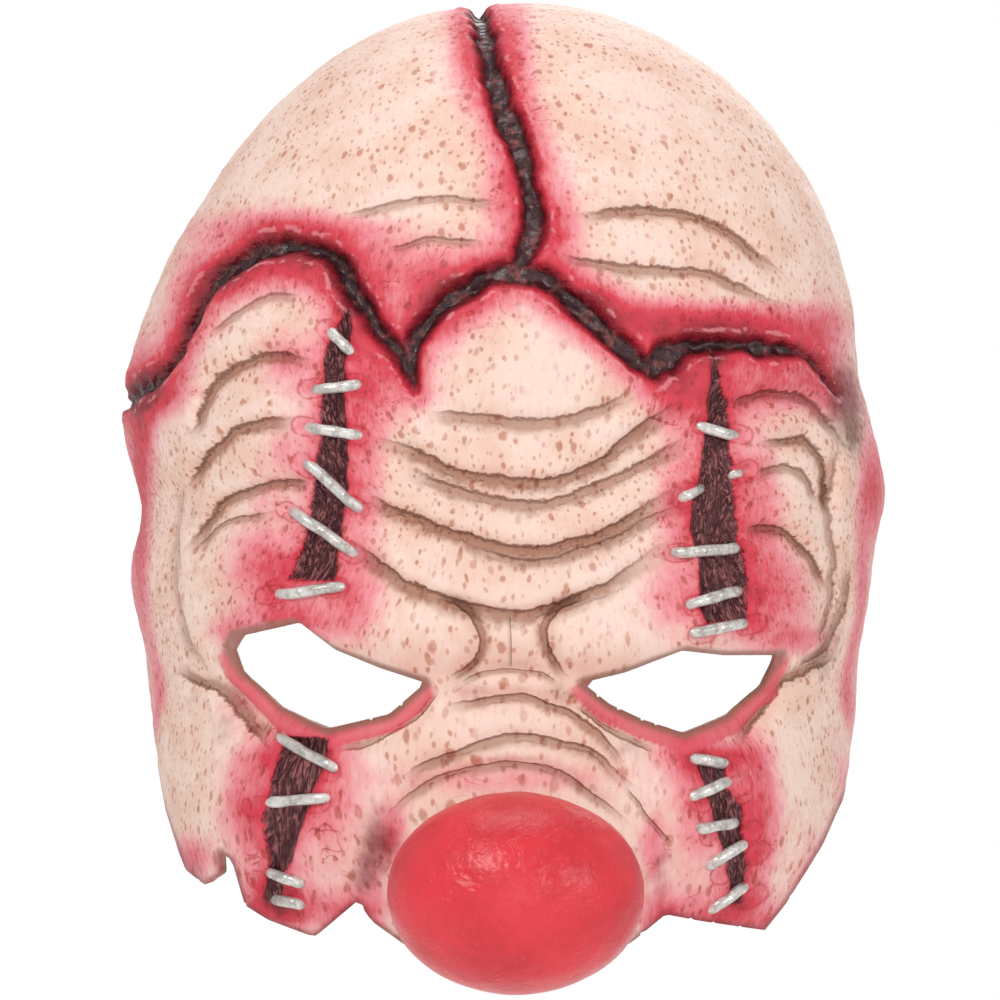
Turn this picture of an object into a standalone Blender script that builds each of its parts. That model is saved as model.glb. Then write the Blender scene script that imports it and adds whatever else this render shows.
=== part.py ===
# Clown half mask: a moulded latex face with a split skull, stitched wounds and a round red nose.
# Metres, +Z up. The mask faces -Y, and +X lies on the right of someone who looks at its face.
# The origin is where the mask rests on its wearer: the inner face of the latex at the bridge of the nose.

import math
from collections import namedtuple

import bmesh
import bpy
import numpy as np
from mathutils import Vector
from mathutils.bvhtree import BVHTree

# The plain head form behind all the relief
HALF_WIDTH = 0.0900
CROWN_RISE = 0.1200
JAW_DROP = 0.1500
FACE_DEPTH = 0.0800
FORM_CENTRE_X = 0.0
FORM_CENTRE_Z = 0.0432
WIDEST_Y = 0.0705
CROWN_SQUARENESS = 2.1
JAW_SQUARENESS = 2.2
FACE_SQUARENESS = 2.3

# The latex wall and where it ends
WALL = 0.0020
SIDE_WRAP = 0.0150
WALL_LEAN = 0.25
WALL_RUN = 0.1300
FORM_STRETCH = 1.45
GRID_STEP = 0.0017
SKIN_TRIANGLES = 4550

# What the relief is measured in: shares in the tables below are of these two
SHARE_ACROSS = HALF_WIDTH
SHARE_UP = FORM_CENTRE_Z + CROWN_RISE
FOLD_DEPTH = 0.0032
FOLD_REACH = 0.0042
CRACK_DEPTH = 0.0032
CRACK_REACH = 0.0062
CRACK_LIP = 0.0012
GASH_DEPTH = 0.0022
GASH_SHOULDER = 0.0030

# The nose bulb and the flat that it is set on
NOSE_X = 0.026 * SHARE_ACROSS
NOSE_Z = -0.310 * SHARE_UP
NOSE_HALF_WIDTH = 0.0307
NOSE_HALF_HEIGHT = 0.0243
NOSE_HALF_DEPTH = 0.0240
NOSE_NECK_BACK = 0.0170
NOSE_WALL = 0.0020
MUZZLE_PUSH = 0.0025
NOSE_SEAT_Y = WIDEST_Y - FACE_DEPTH - MUZZLE_PUSH
SEAT_MARGIN = 0.0016
SEAT_BLEND = 0.0090
NOSE_SIDES = 26

# The stitches
STITCH_RADIUS = 0.0011
STITCH_SAMPLES = 17
STITCH_STEP = 0.0001

# The elastic head strap
STRAP_WIDTH = 0.0100
STRAP_THICKNESS = 0.0012
STRAP_Z = 0.0284
STRAP_LOOP_DEPTH = 0.1000
STRAP_TAB = 0.0160
STRAP_STEPS = 30
TAB_STEPS = 9
RIM_STEP = 0.0004

SEAT_GAP = 0.0003

Swell = namedtuple("Swell", "name across up wide tall height")
Fold = namedtuple("Fold", "name start middle end depth")
Crack = namedtuple("Crack", "name path")
Gash = namedtuple("Gash", "name top bottom width_top width_bottom")
Outline = namedtuple("Outline", "bearing reach wrap")
Stitch = namedtuple("Stitch", "name left right")

# Broad forms. Places and sizes are shares of SHARE_ACROSS and SHARE_UP, heights of FACE_DEPTH.
SWELLS = (
    Swell("brow_left", -0.28, 0.07, 0.26, 0.075, 0.075),
    Swell("brow_right", 0.30, 0.06, 0.26, 0.075, 0.075),
    Swell("brow_left_outer", -0.68, 0.14, 0.22, 0.12, 0.055),
    Swell("brow_right_outer", 0.72, 0.13, 0.20, 0.12, 0.055),
    Swell("forehead_patch", 0.03, 0.46, 0.28, 0.13, 0.035),
    Swell("arch_left", -0.62, 0.42, 0.24, 0.17, 0.045),
    Swell("arch_right", 0.72, 0.36, 0.22, 0.14, 0.040),
    Swell("bridge", 0.02, -0.01, 0.16, 0.06, -0.045),
    Swell("socket_left", -0.47, -0.02, 0.28, 0.06, -0.075),
    Swell("socket_right", 0.47, -0.02, 0.28, 0.06, -0.075),
    Swell("cheek_left", -0.72, -0.16, 0.20, 0.12, 0.045),
    Swell("cheek_right", 0.74, -0.16, 0.20, 0.12, 0.045),
    Swell("muzzle", 0.02, -0.27, 0.62, 0.17, 0.140),
    Swell("temple_left", -0.93, -0.02, 0.12, 0.10, -0.030),
    Swell("temple_right", 0.93, -0.02, 0.12, 0.10, -0.030),
)

# Creases. Each runs from start through middle to end, and depth is a share of FOLD_DEPTH.
FOLDS = (
    Fold("crown_left_upper", (-0.45, 0.675), (-0.23, 0.705), (-0.02, 0.70), 0.50),
    Fold("crown_left_lower", (-0.33, 0.645), (-0.18, 0.655), (-0.03, 0.645), 0.50),
    Fold("crown_right_upper", (0.17, 0.685), (0.46, 0.70), (0.76, 0.605), 0.80),
    Fold("crown_right_lower", (0.16, 0.620), (0.48, 0.61), (0.78, 0.530), 0.80),
    Fold("forehead_1", (-0.27, 0.405), (0.06, 0.378), (0.39, 0.440), 0.75),
    Fold("forehead_2", (-0.42, 0.370), (0.03, 0.272), (0.50, 0.420), 1.15),
    Fold("forehead_2_split", (0.08, 0.275), (0.30, 0.305), (0.50, 0.372), 0.60),
    Fold("forehead_3", (-0.40, 0.290), (0.04, 0.188), (0.49, 0.300), 1.10),
    Fold("forehead_4", (-0.42, 0.210), (0.00, 0.097), (0.50, 0.235), 1.15),
    Fold("left_arch_1", (-0.80, 0.440), (-0.70, 0.520), (-0.52, 0.545), 0.50),
    Fold("left_arch_2", (-0.84, 0.345), (-0.71, 0.440), (-0.49, 0.478), 1.00),
    Fold("left_arch_3", (-0.85, 0.265), (-0.70, 0.360), (-0.52, 0.388), 1.00),
    Fold("left_arch_4", (-0.83, 0.180), (-0.69, 0.268), (-0.54, 0.288), 1.00),
    Fold("left_arch_5", (-0.77, 0.195), (-0.66, 0.235), (-0.54, 0.245), 0.60),
    Fold("left_side", (-0.80, 0.300), (-0.82, 0.130), (-0.75, 0.050), 0.70),
    Fold("right_arch_1", (0.62, 0.418), (0.80, 0.425), (0.91, 0.300), 0.80),
    Fold("right_arch_2", (0.65, 0.340), (0.79, 0.338), (0.88, 0.215), 0.90),
    Fold("right_arch_3", (0.64, 0.305), (0.77, 0.295), (0.87, 0.165), 0.80),
    Fold("right_arch_4", (0.63, 0.235), (0.75, 0.195), (0.85, 0.100), 1.00),
    Fold("right_side", (0.87, 0.330), (0.90, 0.160), (0.81, 0.030), 0.70),
    Fold("brow_left_end", (-0.09, 0.105), (-0.065, 0.045), (-0.15, -0.008), 1.20),
    Fold("brow_right_end", (0.16, 0.105), (0.120, 0.040), (0.20, -0.010), 1.20),
    Fold("bridge_1", (-0.07, 0.022), (0.03, 0.008), (0.15, 0.022), 0.50),
    Fold("bridge_2", (-0.17, -0.040), (0.03, -0.018), (0.22, -0.030), 0.90),
    Fold("bridge_3", (-0.30, -0.120), (0.02, -0.055), (0.28, -0.100), 0.90),
    Fold("nose_roll", (-0.36, -0.190), (0.02, -0.103), (0.38, -0.190), 1.00),
    Fold("lid_left", (-0.72, -0.030), (-0.52, -0.100), (-0.26, -0.055), 0.90),
    Fold("lid_right", (0.26, -0.045), (0.46, -0.100), (0.70, -0.020), 0.90),
    Fold("cheek_left", (-0.90, 0.000), (-0.75, -0.045), (-0.60, -0.115), 0.90),
    Fold("cheek_right", (0.90, 0.035), (0.78, -0.020), (0.64, -0.095), 0.90),
)

CRACKS = (
    Crack("crown_split", ((-0.075, 1.04), (-0.026, 0.88), (0.055, 0.75), (0.075, 0.66), (0.034, 0.59))),
    Crack("left_branch", ((0.034, 0.59), (-0.09, 0.58), (-0.20, 0.52), (-0.24, 0.44))),
    Crack("left_arch", ((-1.02, 0.41), (-0.85, 0.51), (-0.73, 0.62), (-0.56, 0.645), (-0.40, 0.57), (-0.24, 0.45))),
    Crack("right_branch", ((0.06, 0.59), (0.22, 0.555), (0.34, 0.49), (0.41, 0.46))),
    Crack("right_shelf", ((0.41, 0.46), (0.50, 0.49), (0.68, 0.495), (0.83, 0.48), (0.93, 0.40))),
)

# Open wounds, with their widths as shares of SHARE_ACROSS
GASHES = (
    Gash("brow_left", (-0.415, 0.53), (-0.475, 0.140), 0.035, 0.125),
    Gash("brow_right", (0.548, 0.45), (0.563, 0.075), 0.040, 0.100),
    Gash("cheek_left", (-0.525, -0.112), (-0.590, -0.335), 0.120, 0.045),
    Gash("cheek_right", (0.524, -0.108), (0.574, -0.320), 0.070, 0.065),
)

# The front outline, by bearing in degrees from the middle of the form. Reach is a share of the plain oval there,
# and wrap is how far the latex runs on behind its widest place, in shares of SIDE_WRAP. Below 0 it stops before it.
OUTLINE = (
    Outline(0.0, 1.014, 1.0),
    Outline(6.0, 1.000, 1.0),
    Outline(12.0, 0.980, 1.0),
    Outline(20.0, 0.962, 1.0),
    Outline(30.0, 1.000, 0.9),
    Outline(45.0, 1.020, 0.7),
    Outline(60.0, 1.015, 0.6),
    Outline(90.0, 0.998, 0.5),
    Outline(120.0, 0.984, 0.6),
    Outline(135.0, 0.989, 0.7),
    Outline(150.0, 1.018, 0.9),
    Outline(160.0, 1.034, 1.0),
    Outline(165.0, 1.050, 1.0),
    Outline(169.0, 1.032, 1.0),
    Outline(176.0, 0.990, 1.0),
    Outline(183.0, 0.960, 1.0),
    Outline(190.0, 1.004, 1.0),
    Outline(200.0, 0.993, 0.7),
    Outline(210.0, 1.012, 0.1),
    Outline(218.0, 0.992, -0.6),
    Outline(225.0, 0.992, -1.2),
    Outline(234.0, 1.030, -1.9),
    Outline(270.0, 1.000, -2.4),
    Outline(308.0, 1.015, -1.9),
    Outline(315.0, 0.970, -1.2),
    Outline(322.0, 0.976, -0.6),
    Outline(330.0, 1.002, 0.1),
    Outline(340.0, 0.971, 0.7),
    Outline(350.0, 0.975, 1.0),
    Outline(355.0, 0.990, 1.0),
)

# The lower edge of the latex in the front view, from the wearer's right cheek to the left
LOWER_EDGE = (
    (-1.10, -0.10), (-0.950, -0.140), (-0.880, -0.243), (-0.853, -0.280), (-0.800, -0.302), (-0.758, -0.285),
    (-0.760, -0.252), (-0.728, -0.264), (-0.693, -0.331), (-0.627, -0.353), (-0.507, -0.377), (-0.392, -0.323),
    (-0.354, -0.353), (-0.278, -0.383), (-0.180, -0.420), (0.020, -0.428), (0.220, -0.420), (0.339, -0.383),
    (0.427, -0.343), (0.520, -0.353), (0.693, -0.368), (0.747, -0.331), (0.848, -0.243), (0.891, -0.191),
    (0.940, -0.140), (1.10, -0.10),
)
EDGE_SURROUND = ((1.60, -0.10), (1.60, 1.60), (-1.60, 1.60), (-1.60, -0.10))

# The eye holes, clockwise from the corner nearest the temple or the nose
EYE_LEFT = (
    (-0.722, 0.045), (-0.700, 0.066), (-0.545, 0.085), (-0.450, 0.045), (-0.330, 0.018),
    (-0.212, -0.003), (-0.310, -0.050), (-0.475, -0.071), (-0.600, -0.040), (-0.700, 0.010),
)
EYE_RIGHT = (
    (0.206, -0.003), (0.320, 0.012), (0.470, 0.044), (0.580, 0.037), (0.722, 0.037),
    (0.690, -0.010), (0.600, -0.050), (0.476, -0.077), (0.370, -0.058), (0.280, -0.035),
)

STITCHES = (
    Stitch("stitch_brow_left_1", (-0.468, 0.519), (-0.399, 0.481)),
    Stitch("stitch_brow_left_2", (-0.511, 0.426), (-0.378, 0.439)),
    Stitch("stitch_brow_left_3", (-0.532, 0.375), (-0.373, 0.361)),
    Stitch("stitch_brow_left_4", (-0.529, 0.326), (-0.378, 0.249)),
    Stitch("stitch_brow_left_5", (-0.569, 0.255), (-0.389, 0.184)),
    Stitch("stitch_brow_left_6", (-0.606, 0.126), (-0.423, 0.139)),
    Stitch("stitch_brow_right_1", (0.508, 0.378), (0.614, 0.356)),
    Stitch("stitch_brow_right_2a", (0.463, 0.270), (0.529, 0.289)),
    Stitch("stitch_brow_right_2b", (0.587, 0.299), (0.630, 0.311)),
    Stitch("stitch_brow_right_3", (0.437, 0.188), (0.616, 0.196)),
    Stitch("stitch_brow_right_4", (0.474, 0.110), (0.627, 0.133)),
    Stitch("stitch_brow_right_5", (0.484, 0.070), (0.643, 0.086)),
    Stitch("stitch_cheek_left_1", (-0.603, -0.081), (-0.442, -0.130)),
    Stitch("stitch_cheek_left_2", (-0.635, -0.181), (-0.460, -0.172)),
    Stitch("stitch_cheek_left_3", (-0.632, -0.286), (-0.529, -0.301)),
    Stitch("stitch_cheek_left_4", (-0.616, -0.326), (-0.524, -0.333)),
    Stitch("stitch_cheek_right_1", (0.489, -0.116), (0.590, -0.123)),
    Stitch("stitch_cheek_right_2", (0.489, -0.170), (0.598, -0.145)),
    Stitch("stitch_cheek_right_3", (0.505, -0.219), (0.616, -0.210)),
    Stitch("stitch_cheek_right_4", (0.532, -0.275), (0.638, -0.237)),
    Stitch("stitch_cheek_right_5", (0.542, -0.326), (0.643, -0.302)),
)


def in_metres(points):
    """Places given in shares of the mask, as front-view x and z."""
    return np.array(points, float) * (SHARE_ACROSS, SHARE_UP)


def smooth_step(low, high, value):
    share = np.clip((value - low) / (high - low), 0.0, 1.0)
    return share * share * (3.0 - 2.0 * share)


def through(points, steps_each=6):
    """A smooth run through a few points (Catmull-Rom), with steps_each short pieces between two of them."""
    points = np.asarray(points, float)
    padded = np.vstack([2 * points[0] - points[1], points, 2 * points[-1] - points[-2]])
    share = np.linspace(0.0, 1.0, steps_each, endpoint=False)[:, None]
    runs = []
    for before, first, last, after in zip(padded, padded[1:], padded[2:], padded[3:]):
        bend = 2 * before - 5 * first + 4 * last - after
        twist = 3 * (first - last) + after - before
        runs.append(first + 0.5 * share * (last - before + share * (bend + share * twist)))
    return np.vstack([*runs, points[-1]])


def nearest_on(line, x, z):
    """Distance from each front-view place to a line of points, and how far along it the nearest place is (0 to 1)."""
    distance = np.full(x.shape, np.inf)
    along = np.zeros(x.shape)
    pieces = len(line) - 1
    for index, (first, last) in enumerate(zip(line, line[1:])):
        run = last - first
        share = ((x - first[0]) * run[0] + (z - first[1]) * run[1]) / (run @ run)
        share = np.clip(share, 0.0, 1.0)
        gap = np.hypot(x - first[0] - share * run[0], z - first[1] - share * run[1])
        along = np.where(gap < distance, (index + share) / pieces, along)
        distance = np.minimum(distance, gap)
    return distance, along


def outside_of(outline, x, z):
    """Distance to a closed front-view outline: positive outside it and negative inside."""
    closed = np.vstack([outline, outline[:1]])
    distance, _ = nearest_on(closed, x, z)
    crossings = np.zeros(x.shape, int)
    for first, last in zip(closed, closed[1:]):
        spans = (first[1] > z) != (last[1] > z)
        rise = last[1] - first[1] if last[1] != first[1] else 1.0
        crossings += spans & (x < first[0] + (z - first[1]) * (last[0] - first[0]) / rise)
    return np.where(crossings % 2 == 1, -distance, distance)


def along_outline(bearing, column):
    """A column of the outline table at any bearing, with smooth passages between its rows."""
    rows = [row.bearing for row in OUTLINE]
    values = [getattr(row, column) for row in OUTLINE]
    rows = [rows[-1] - 360.0, *rows, rows[0] + 360.0]
    values = [values[-1], *values, values[0]]
    degrees = np.degrees(bearing) % 360.0
    return sum(np.interp((degrees + shift) % 360.0, rows, values) for shift in (-2.0, 0.0, 2.0)) / 3.0


def side_reach(bearing):
    """How far the head form reaches from its middle in a front-view direction: two half superellipses."""
    above = np.sin(bearing) >= 0
    rise = np.where(above, CROWN_RISE, JAW_DROP)
    square = np.where(above, CROWN_SQUARENESS, JAW_SQUARENESS)
    width_part = np.abs(np.cos(bearing) / HALF_WIDTH) ** square
    height_part = np.abs(np.sin(bearing) / rise) ** square
    return (width_part + height_part) ** (-1.0 / square) * along_outline(bearing, "reach")


def head_form(u, w):
    """The plain form. The distance from the middle of the (u, w) sheet is 0 at the front of the face and 1 where
    the form is widest, and past 1 the sheet runs back along the side wall."""
    round_share = np.hypot(u, w)
    bearing = np.arctan2(w, u)
    reach = side_reach(bearing)
    angle = np.clip(round_share, 0.0, 1.0) * math.pi / 2
    sine, cosine = np.sin(angle), np.cos(angle)
    swell = (sine**FACE_SQUARENESS + cosine**FACE_SQUARENESS) ** (-1.0 / FACE_SQUARENESS)
    back = np.clip(round_share - 1.0, 0.0, None) * WALL_RUN
    out = reach * swell * sine - back * back * WALL_LEAN / SIDE_WRAP
    x = FORM_CENTRE_X + out * np.cos(bearing)
    z = FORM_CENTRE_Z + out * np.sin(bearing)
    y = WIDEST_Y - FACE_DEPTH * swell * cosine + back
    return np.stack([x, y, z], axis=-1)


def swell_height(x, z):
    height = np.zeros(x.shape)
    for swell in SWELLS:
        across = (x / SHARE_ACROSS - swell.across) / swell.wide
        up = (z / SHARE_UP - swell.up) / swell.tall
        height += swell.height * FACE_DEPTH * np.exp(-(across**2) - up**2)
    return height


def fold_height(x, z):
    """A crease is a valley that is sharpest along its line and fades out at both ends."""
    height = np.zeros(x.shape)
    for fold in FOLDS:
        line = through(in_metres((fold.start, fold.middle, fold.end)))
        distance, along = nearest_on(line, x, z)
        fade = smooth_step(0.0, 0.18, along) * smooth_step(0.0, 0.18, 1.0 - along)
        round_valley = np.sqrt(distance**2 + (0.25 * FOLD_REACH) ** 2)
        height -= fold.depth * FOLD_DEPTH * fade * np.exp(-round_valley / FOLD_REACH)
    return height


def crack_height(x, z):
    """A crack is a round-shouldered groove between two low lips. Where cracks meet, the deepest one counts."""
    nearest = np.full(x.shape, np.inf)
    for crack in CRACKS:
        distance, _ = nearest_on(through(in_metres(crack.path)), x, z)
        nearest = np.minimum(nearest, distance)
    groove = 0.5 * (1.0 + np.cos(math.pi * np.clip(nearest / CRACK_REACH, 0.0, 1.0)))
    lip = np.exp(-(((nearest - 1.35 * CRACK_REACH) / (0.6 * CRACK_REACH)) ** 2))
    return CRACK_LIP * lip - CRACK_DEPTH * groove


def gash_height(x, z):
    """An open wound is a flat-floored hollow that widens from one end to the other."""
    height = np.zeros(x.shape)
    for gash in GASHES:
        distance, along = nearest_on(in_metres((gash.top, gash.bottom)), x, z)
        width = (gash.width_top + (gash.width_bottom - gash.width_top) * along) * SHARE_ACROSS
        beyond = distance - 0.5 * width
        height -= GASH_DEPTH * (1.0 - smooth_step(-0.5 * GASH_SHOULDER, GASH_SHOULDER, beyond))
    return height


def nose_oval(x, z, half_width, half_height):
    """Distance outside an upright oval about the nose, measured as a share of its size times its mean radius."""
    share = np.hypot((x - NOSE_X) / half_width, (z - NOSE_Z) / half_height)
    return (share - 1.0) * 0.5 * (half_width + half_height)


def neck_share():
    """How much of the bulb's width is left where it is cut off at its neck."""
    return math.sqrt(1.0 - (NOSE_NECK_BACK / NOSE_HALF_DEPTH) ** 2)


def skin_surface(u, w):
    """The outer face of the latex: the plain form, raised along its normal by the relief and flattened at the nose."""
    step = 1e-4
    point = head_form(u, w)
    along_u = head_form(u + step, w) - head_form(u - step, w)
    along_w = head_form(u, w + step) - head_form(u, w - step)
    normal = np.cross(along_u, along_w)
    normal /= np.linalg.norm(normal, axis=-1, keepdims=True)
    x, z = point[..., 0], point[..., 2]
    height = swell_height(x, z) + fold_height(x, z) + crack_height(x, z) + gash_height(x, z)
    skin = point + normal * height[..., None]
    seat_width = NOSE_HALF_WIDTH * neck_share() + SEAT_MARGIN
    seat_height = NOSE_HALF_HEIGHT * neck_share() + SEAT_MARGIN
    around = nose_oval(skin[..., 0], skin[..., 2], seat_width, seat_height)
    flat = 1.0 - smooth_step(0.0, SEAT_BLEND, around)
    skin[..., 1] += flat * (NOSE_SEAT_Y - skin[..., 1])
    return skin


def missing_latex(u, w, places):
    """How far each place of the sheet is past an edge of the latex: positive where there is none."""
    x, z = places[..., 0], places[..., 2]
    wrap = SIDE_WRAP * along_outline(np.arctan2(w, u), "wrap")
    past_back = (np.hypot(u, w) - 1.0) * WALL_RUN - wrap
    kept = in_metres(LOWER_EDGE + EDGE_SURROUND)
    past_edges = [past_back, outside_of(kept, x, z)]
    past_edges += [-outside_of(in_metres(eye), x, z) for eye in (EYE_LEFT, EYE_RIGHT)]
    bore_width = NOSE_HALF_WIDTH * neck_share() - NOSE_WALL
    bore_height = NOSE_HALF_HEIGHT * neck_share() - NOSE_WALL
    past_edges.append(-nose_oval(x, z, bore_width, bore_height))
    return np.max(past_edges, axis=0)


def shifted(values, axis, step):
    """Each grid place's neighbour, and past the grid's border the place itself."""
    index = np.clip(np.arange(values.shape[axis]) + step, 0, values.shape[axis] - 1)
    return np.take(values, index, axis=axis)


def drawn_to_edges(u, w, missing):
    """Moves the grid places beside an edge of the latex on to that edge, and says which they are."""
    nearest = np.full(missing.shape, np.inf)
    new_u, new_w = u.copy(), w.copy()
    for axis in (0, 1):
        for step in (-1, 1):
            beyond = shifted(missing, axis, step)
            crosses = missing * beyond < 0
            share = np.where(crosses, missing / np.where(crosses, missing - beyond, 1.0), np.inf)
            take = (share <= 0.5) & (share < nearest)
            nearest = np.where(take, share, nearest)
            share = np.where(take, share, 0.0)
            new_u = np.where(take, u + share * (shifted(u, axis, step) - u), new_u)
            new_w = np.where(take, w + share * (shifted(w, axis, step) - w), new_w)
    return new_u, new_w, np.isfinite(nearest)


def rubber(name, colour, roughness, metallic=0.0):
    material = bpy.data.materials.new(name)
    material.use_nodes = True
    shader = material.node_tree.nodes["Principled BSDF"]
    shader.inputs["Base Color"].default_value = (*colour, 1.0)
    shader.inputs["Roughness"].default_value = roughness
    shader.inputs["Metallic"].default_value = metallic
    return material


def placed(name, data, material, collection):
    obj = bpy.data.objects.new(name, data)
    data.materials.append(material)
    collection.objects.link(obj)
    return obj


def make_skin(collection):
    """A fine sheet is laid over the form, its places outside the latex are dropped, and it is thinned and thickened."""
    span = 1.0 + 1.4 * SIDE_WRAP / WALL_RUN
    columns = round(2 * span * FORM_STRETCH * HALF_WIDTH / GRID_STEP)
    rows = round(2 * span * FORM_STRETCH * CROWN_RISE / GRID_STEP)
    sheet = bmesh.new()
    bmesh.ops.create_grid(sheet, x_segments=columns, y_segments=rows, size=span)
    sheet.verts.ensure_lookup_table()
    flat = np.array([vert.co[:2] for vert in sheet.verts]).reshape(rows + 1, columns + 1, 2)
    u, w = flat[..., 0], flat[..., 1]
    missing = missing_latex(u, w, skin_surface(u, w))
    u, w, on_edge = drawn_to_edges(u, w, missing)
    places = skin_surface(u, w).reshape(-1, 3)
    kept = ((missing <= 0) | on_edge).ravel()
    missing = missing.ravel()
    for face in list(sheet.faces):
        corners = [vert for vert in face.verts if kept[vert.index]]
        middle = sum(missing[vert.index] for vert in corners)
        if len(corners) == 3 and middle < 0:
            sheet.faces.new(corners)
        if len(corners) < 4 or middle >= 0:
            sheet.faces.remove(face)
    for vert in sheet.verts:
        vert.co = places[vert.index]
    loose = [vert for vert in sheet.verts if not vert.link_faces]
    bmesh.ops.delete(sheet, geom=loose, context="VERTS")
    bmesh.ops.triangulate(sheet, faces=list(sheet.faces))
    mesh = bpy.data.meshes.new("mask_skin")
    fine_triangles = len(sheet.faces)
    sheet.to_mesh(mesh)
    sheet.free()
    skin = placed("mask_skin", mesh, rubber("skin_latex", (0.86, 0.66, 0.55), 0.5), collection)
    thin_out = skin.modifiers.new("fewer_faces", "DECIMATE")
    thin_out.ratio = SKIN_TRIANGLES / fine_triangles
    wall = skin.modifiers.new("wall", "SOLIDIFY")
    wall.thickness = WALL
    wall.offset = -1.0
    return skin


def make_nose(collection):
    """A hollow bulb turned about its own depth axis, open at the neck, and pressed into an upright oval."""
    turn_back = math.asin(NOSE_NECK_BACK / NOSE_HALF_DEPTH)
    profile = []
    for half_width, half_depth, angles in (
        (NOSE_HALF_WIDTH, NOSE_HALF_DEPTH, np.linspace(-math.pi / 2, turn_back, 12)),
        (
            NOSE_HALF_WIDTH - NOSE_WALL,
            NOSE_HALF_DEPTH - NOSE_WALL,
            np.linspace(math.asin(NOSE_NECK_BACK / (NOSE_HALF_DEPTH - NOSE_WALL)), -math.pi / 2, 9),
        ),
    ):
        profile += [(half_width * math.cos(a), 0.0, half_depth * math.sin(a)) for a in angles]
    profile[0] = (0.0, 0.0, profile[0][2])
    profile[-1] = (0.0, 0.0, profile[-1][2])
    profile.reverse()
    mesh = bpy.data.meshes.new("nose_bulb")
    mesh.from_pydata(profile, [(i, i + 1) for i in range(len(profile) - 1)], [])
    nose = placed("nose_bulb", mesh, rubber("nose_latex", (0.84, 0.05, 0.08), 0.35), collection)
    turned = nose.modifiers.new("turned", "SCREW")
    turned.steps = turned.render_steps = NOSE_SIDES
    turned.use_merge_vertices = True
    turned.merge_threshold = 0.00005
    nose.rotation_euler = (-math.pi / 2, 0.0, 0.0)
    nose.scale = (1.0, NOSE_HALF_HEIGHT / NOSE_HALF_WIDTH, 1.0)
    nose.location = (NOSE_X, NOSE_SEAT_Y - SEAT_GAP - NOSE_NECK_BACK, NOSE_Z)
    return nose


def taut_over(depths):
    """The line of a thread pulled tight over a row of depths, lowest y outermost, at the places where it bends."""
    bends = [0]
    while bends[-1] < len(depths) - 1:
        here = bends[-1]
        ahead = range(here + 1, len(depths))
        bends.append(min(ahead, key=lambda there: (depths[there] - depths[here]) / (there - here)))
    return bends


def skin_front(tree, x, z):
    """The depth of the latex's outer face at a front-view place, or None over a hole."""
    hit, _, _, _ = tree.ray_cast(Vector((x, -1.0, z)), Vector((0.0, 1.0, 0.0)))
    return None if hit is None else hit.y


def rise_clear(tree, line):
    """How far a line on the skin has to come forward before a stitch's radius and the seat gap are clear below it."""
    rise = 0.0
    while min(tree.find_nearest(Vector((x, y - rise, z)))[3] for x, y, z in line) < STITCH_RADIUS + SEAT_GAP:
        rise += STITCH_STEP
    return rise


def make_stitch(row, tree, material, collection):
    """A bar laid across a wound. It touches down at the highest places of the skin below it."""
    places = np.linspace(*in_metres((row.left, row.right)), STITCH_SAMPLES)
    found = [skin_front(tree, x, z) for x, z in places]
    farthest = max(depth for depth in found if depth is not None)
    depths = [farthest if depth is None else depth for depth in found]
    bends = taut_over(depths)
    taut = np.interp(range(STITCH_SAMPLES), bends, [depths[bend] for bend in bends])
    taut = taut - rise_clear(tree, np.stack([places[:, 0], taut, places[:, 1]], axis=1))
    curve = bpy.data.curves.new(row.name, "CURVE")
    curve.dimensions = "3D"
    curve.bevel_depth = STITCH_RADIUS
    curve.bevel_resolution = 1
    curve.use_fill_caps = True
    line = curve.splines.new("POLY")
    line.points.add(len(bends) - 1)
    for point, bend in zip(line.points, bends):
        point.co = (places[bend][0], taut[bend], places[bend][1], 1.0)
    return placed(row.name, curve, material, collection)


def wall_reach(tree, side, y):
    """How far out a strap of full width can go at depth y before it meets the side wall, or None behind the rim."""
    reach = []
    for z in STRAP_Z + STRAP_WIDTH * np.linspace(-0.5, 0.5, TAB_STEPS):
        hit, _, _, _ = tree.ray_cast(Vector((0.0, y, z)), Vector((side, 0.0, 0.0)))
        if hit is None:
            return None
        reach.append(abs(hit.x))
    return min(reach) - SEAT_GAP


def tab_path(tree, side):
    """Where a strap's end lies against the inner face of the side wall, from its front end to the rim."""
    rim_y = WIDEST_Y + SIDE_WRAP
    while wall_reach(tree, side, rim_y) is None:
        rim_y -= RIM_STEP
    return [(side * wall_reach(tree, side, y), y) for y in np.linspace(rim_y - STRAP_TAB, rim_y, TAB_STEPS)]


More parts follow.
